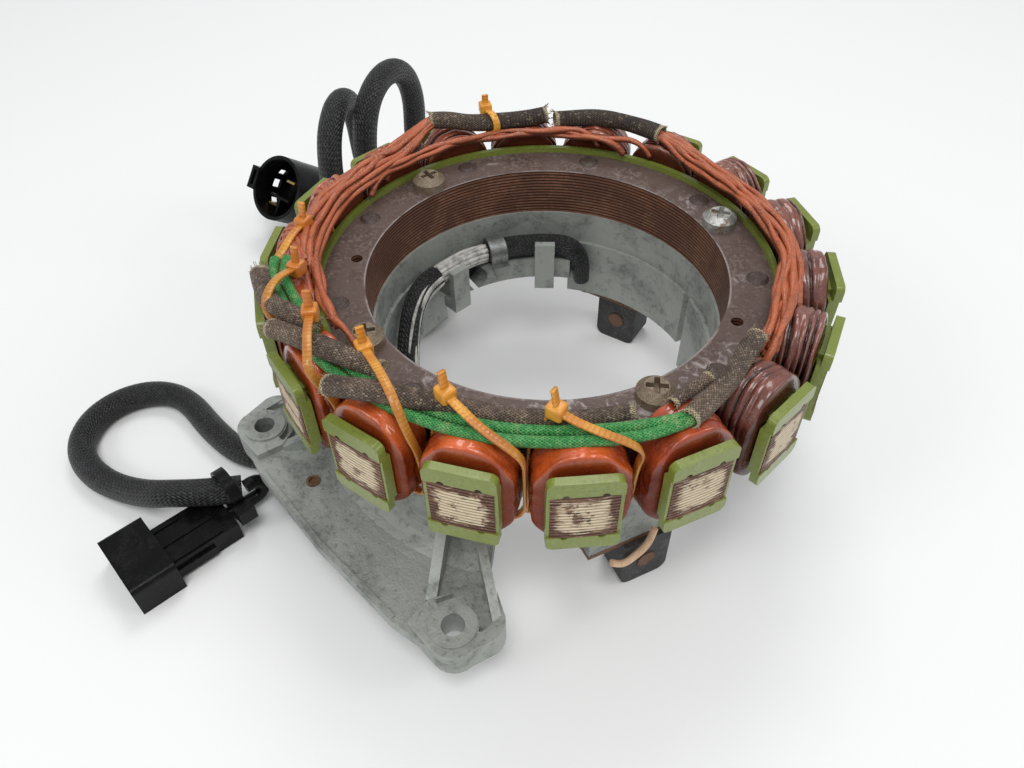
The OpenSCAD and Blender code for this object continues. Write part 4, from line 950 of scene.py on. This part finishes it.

# %% [markdown]
# ## Cords
# The two harnesses leave the plate through rubber grommets. They are slack bundles of wires in a black
# braid, and they lie and stand as they were dropped on the table: the longer one in two standing loops.
# Each is a tube along the same points as its solid.

# %% Black braid cords
black_braid = g = Finish("black braid", Roughness=0.4)
cross = g.weave(0.85, 0.62, 0.0006)
tone = g.mix(cross["Thread"], rgb(24, 24, 25), rgb(52, 52, 54))
# Painted shade: near black in the gaps between threads.
g.feed(Base_Color=g.mix(cross["Gap"], tone, rgb(6, 6, 6)))
START, CORD_RADIUS, STEP = 56.5 + 4.2, 4.5, 1.5
signal_points = np.array([*polar([START, START + 3], 238, -49.5).tolist(), [-38, -61, -50.5],
    [-44, -71, -51.5], [-50.5, -79.5, -51.5], [-59, -86, -51.5], [-70, -88.5, -51.5], [-81, -89, -51.5],
    [-92, -89, -51.5], [-102, -91.7, -51.5], [-109.3, -99, -51.5], [-112, -109, -51.5], [-109.3, -119, -51.5],
    [-102, -126, -51.5], [-92, -128.5, -51.5], [-81, -127, -51.5], [-71, -123, -50.5], [-61.5, -118.5, -47.5],
    [-53, -113, -44], [-45.8, -105.5, -43.2], [-40.5, -96, -44.8]])
heading, dip = math.radians(99.7), math.radians(38.6)
axis_out = np.array([math.cos(dip) * math.cos(heading), math.cos(dip) * math.sin(heading), -math.sin(dip)])
rear = np.array([-161.3, -6.2, -28]) + 30 * axis_out
power_points = np.array([*polar([START, START + 3], 170, -17.5).tolist(), [-69, 12.2, -18.8],
    [-76, 15, -22.5], [-84, 20, -31], [-91, 26, -40.5], [-98, 32, -48], [-106.5, 38, -51.5],
    [-115.5, 42.5, -49], [-122, 44.5, -42.5], [-124.8, 44.8, -33], [-124.8, 44.5, -18], [-123, 43.5, -3],
    [-121.5, 43, 9.5], [-119.2, 38, 22.8], [-113.7, 25.7, 28.5], [-108.2, 13.4, 22.8], [-105.5, 8, 9.5],
    [-105.5, 8, -6], [-103.5, 11, -23], [-97.5, 15, -38], [-88.5, 16.5, -48], [-77.5, 11.5, -51.5],
    [-72, -1.5, -51.5], [-77.5, -14.5, -51.5], [-88.5, -20, -48], [-97.5, -18, -38], [-103, -12.5, -23],
    [-105, -9, -8], [-105, -8.5, 3.5], [-108.3, -4.5, 16.8], [-116.5, 5.5, 22.5], [-124.7, 15.5, 16.8],
    [-128, 19.5, 3.5], [-130, 21.5, -12], [-131, 26, -27.5], [-132, 33.5, -39.5], [-136.5, 43.5, -47.5],
    [-146.5, 50, -51], [-157.5, 48.5, -51.5], [-164.5, 39.5, -51.5], [-166.3, 27, -51.4],
    (rear + 2.5 * axis_out).tolist(), (rear + 0.2 * axis_out).tolist()])
for name, points, others in (
        ("signal_cord", signal_points, ["signal_connector", "signal_terminals", "signal_leads", "signal_tie"]),
        ("power_cord", power_points, ["power_connector", "power_divider", "power_terminals"])):
    line = spline(points, STEP)
    lumps = lumpy(len(line), 24, STEP, 0.02, 500 + len(points))
    braided = piece(name + "_braid", [tube(line, CORD_RADIUS, 24, lumps=lumps)], black_braid, "black_braid", name)

# %% [markdown]
# ## Harness inside the plate
# The same wiring runs along the inside of the wall, under a clamp and behind two cast fingers. Where its
# braid has worn away, pale strands show.

# %% Inner harness
INNER_R, INNER_Z = 47.2, -10.0
near = spline(polar([48.4, 47.8, 47.4, *[INNER_R] * 5], [119.4, 119.8, 121.2, 124.5, 132, 142, 152, 162],
                    [-25, -19.5, -14.5, -11.2, *[INNER_Z] * 4]), 1.0)
thinner = np.interp(np.arange(len(near)), [0, 14], [2.9, 3.8])
piece("inner_harness_braid", [tube(near, thinner, 20)], black_braid, "black_braid", "inner_harness")
tail = spline(polar([*[INNER_R] * 3, 47, 46.8, 46.2, 45.2, 46, 50.6],
                    [189, 198, 206, 213, 220, 227, 233, 237.6, 238],
                    [INNER_Z, -10.5, -14, -20, -28, -37, -45, -49.3, -49.5]), 1.0)
piece("inner_tail_braid", [tube(tail, 3.8, 20)], black_braid, "black_braid", "inner_harness_tail")
fibre, _ = stained(
    "worn strands", (206, 204, 198), (164, 162, 158), (90, 88, 86), 300.0, 0.9, 0.6,
    grain=(900.0, 0.0003), Roughness=0.8)
strands = []
for k in range(11):
    w = 2 * math.pi * k / 11
    t = np.linspace(162.6, 188.4, 8)
    spread = 2.6 + 0.3 * waves(700 + k, t, low=0.1, high=0.3)
    line = spline(polar(INNER_R + spread * math.cos(w), t, INNER_Z + spread * math.sin(w)), 1.0)
    strands.append(tube(line, 0.85, 8))
d = side_vectors(tail)[0]
inwards = unit(-tail * (1, 1, 0))
inwards = unit(inwards - (inwards * d).sum(1, keepdims=True) * d)
beside = np.cross(d, inwards)
last = int(0.8 * len(tail))
s = np.arange(last)
for k, w in enumerate(np.radians([-58, -36, -14, 10, 34, 56])):
    w = w + 0.2 * waves(740 + k, s, low=0.03, high=0.12)
    out = 3.5 + 0.3 * waves(760 + k, s, low=0.05, high=0.2)
    way = np.cos(w)[:, None] * inwards[:last] + np.sin(w)[:, None] * beside[:last]
    strands.append(tube(tail[:last] + out[:, None] * way, 0.6, 7))
piece("worn_strands", strands, fibre, "strand", "exposed_strands")

# %% [markdown]
# ## Black plastics, rubber and small steel
# Connectors are glossy nylon, the pickups are dull cast resin, and the grommets are rubber. Screws and
# brackets are steel in different states: one screw is still bright, the others are stained by rust.

# %% Small finishes
stained(
    "black nylon", (12, 12, 12), (18, 18, 18), (50, 50, 50), 160.0, 0.8, 0.25,
    on=["signal_connector", "signal_tie", "signal_leads", "power_connector", "power_divider"],
    rough=(0.26, 0.16), grain=(900.0, 0.00005), Specular_IOR_Level=0.18)
stained(
    "pickup resin", (46, 47, 49), (62, 62, 62), (104, 96, 90), 140.0, 0.8, 0.5,
    on=["pickup_housings"], grain=(500.0, 0.0002), Roughness=0.62)
stained(
    "grommet rubber", (30, 30, 30), (44, 43, 42), (80, 78, 74), 200.0, 0.7, 0.4,
    on=["signal_grommet", "power_grommet"], grain=(600.0, 0.00015), Roughness=0.7)
stained(
    "rusted steel", (116, 82, 62), (86, 58, 44), (150, 128, 110), 260.0, 0.9, 0.6,
    on=["pickup_cores", "pickup_brackets", "pickup_screws"],
    rough=(0.5, 0.3), grain=(700.0, 0.0003), Metallic=0.35)
stained(
    "terminal brass", (198, 172, 110), (150, 124, 78), (100, 82, 56), 400.0, 0.6, 0.3,
    on=["signal_terminals", "power_terminals"], rough=(0.28, 0.2), Metallic=0.9)

zinc, tones = stained(
    "tarnished zinc", (132, 116, 96), (90, 68, 50), (182, 168, 148), 330.0, 0.9, 0.7,
    on=["core_screws"], rough=(0.32, 0.3), grain=(900.0, 0.00025))
clean_screw = polar(1, 69, 0).tolist()
reach = zinc.put("VectorMath", {0: zinc.place, 1: clean_screw}, operation="DOT_PRODUCT").outputs["Value"]
bright = zinc.mul(zinc.mask(reach, 0.044, 0.048), zinc.spots(420.0, 0.62, 0.5, 4.0, 0.6))
zinc.feed(Base_Color=zinc.mix(bright, tones["Color"], rgb(190, 190, 186)),
          Metallic=zinc.add(0.2, zinc.mul(bright, 0.6)))

cream, _ = stained(
    "cream wire", (226, 190, 156), (206, 164, 130), (150, 116, 92), 300.0, 0.7, 0.4,
    Roughness=0.5)
wire_line = spline(polar([68.9, 69.2, 69.2, 69, 67.6], [332.5, 335.5, 338.5, 341.5, 344],
                         [-39.5, -41, -39, -35.5, -31]), 0.6)
piece("pickup_wire_cream", [tube(wire_line, 1.1, 12)], cream, "cream_wire", "pickup_wire")
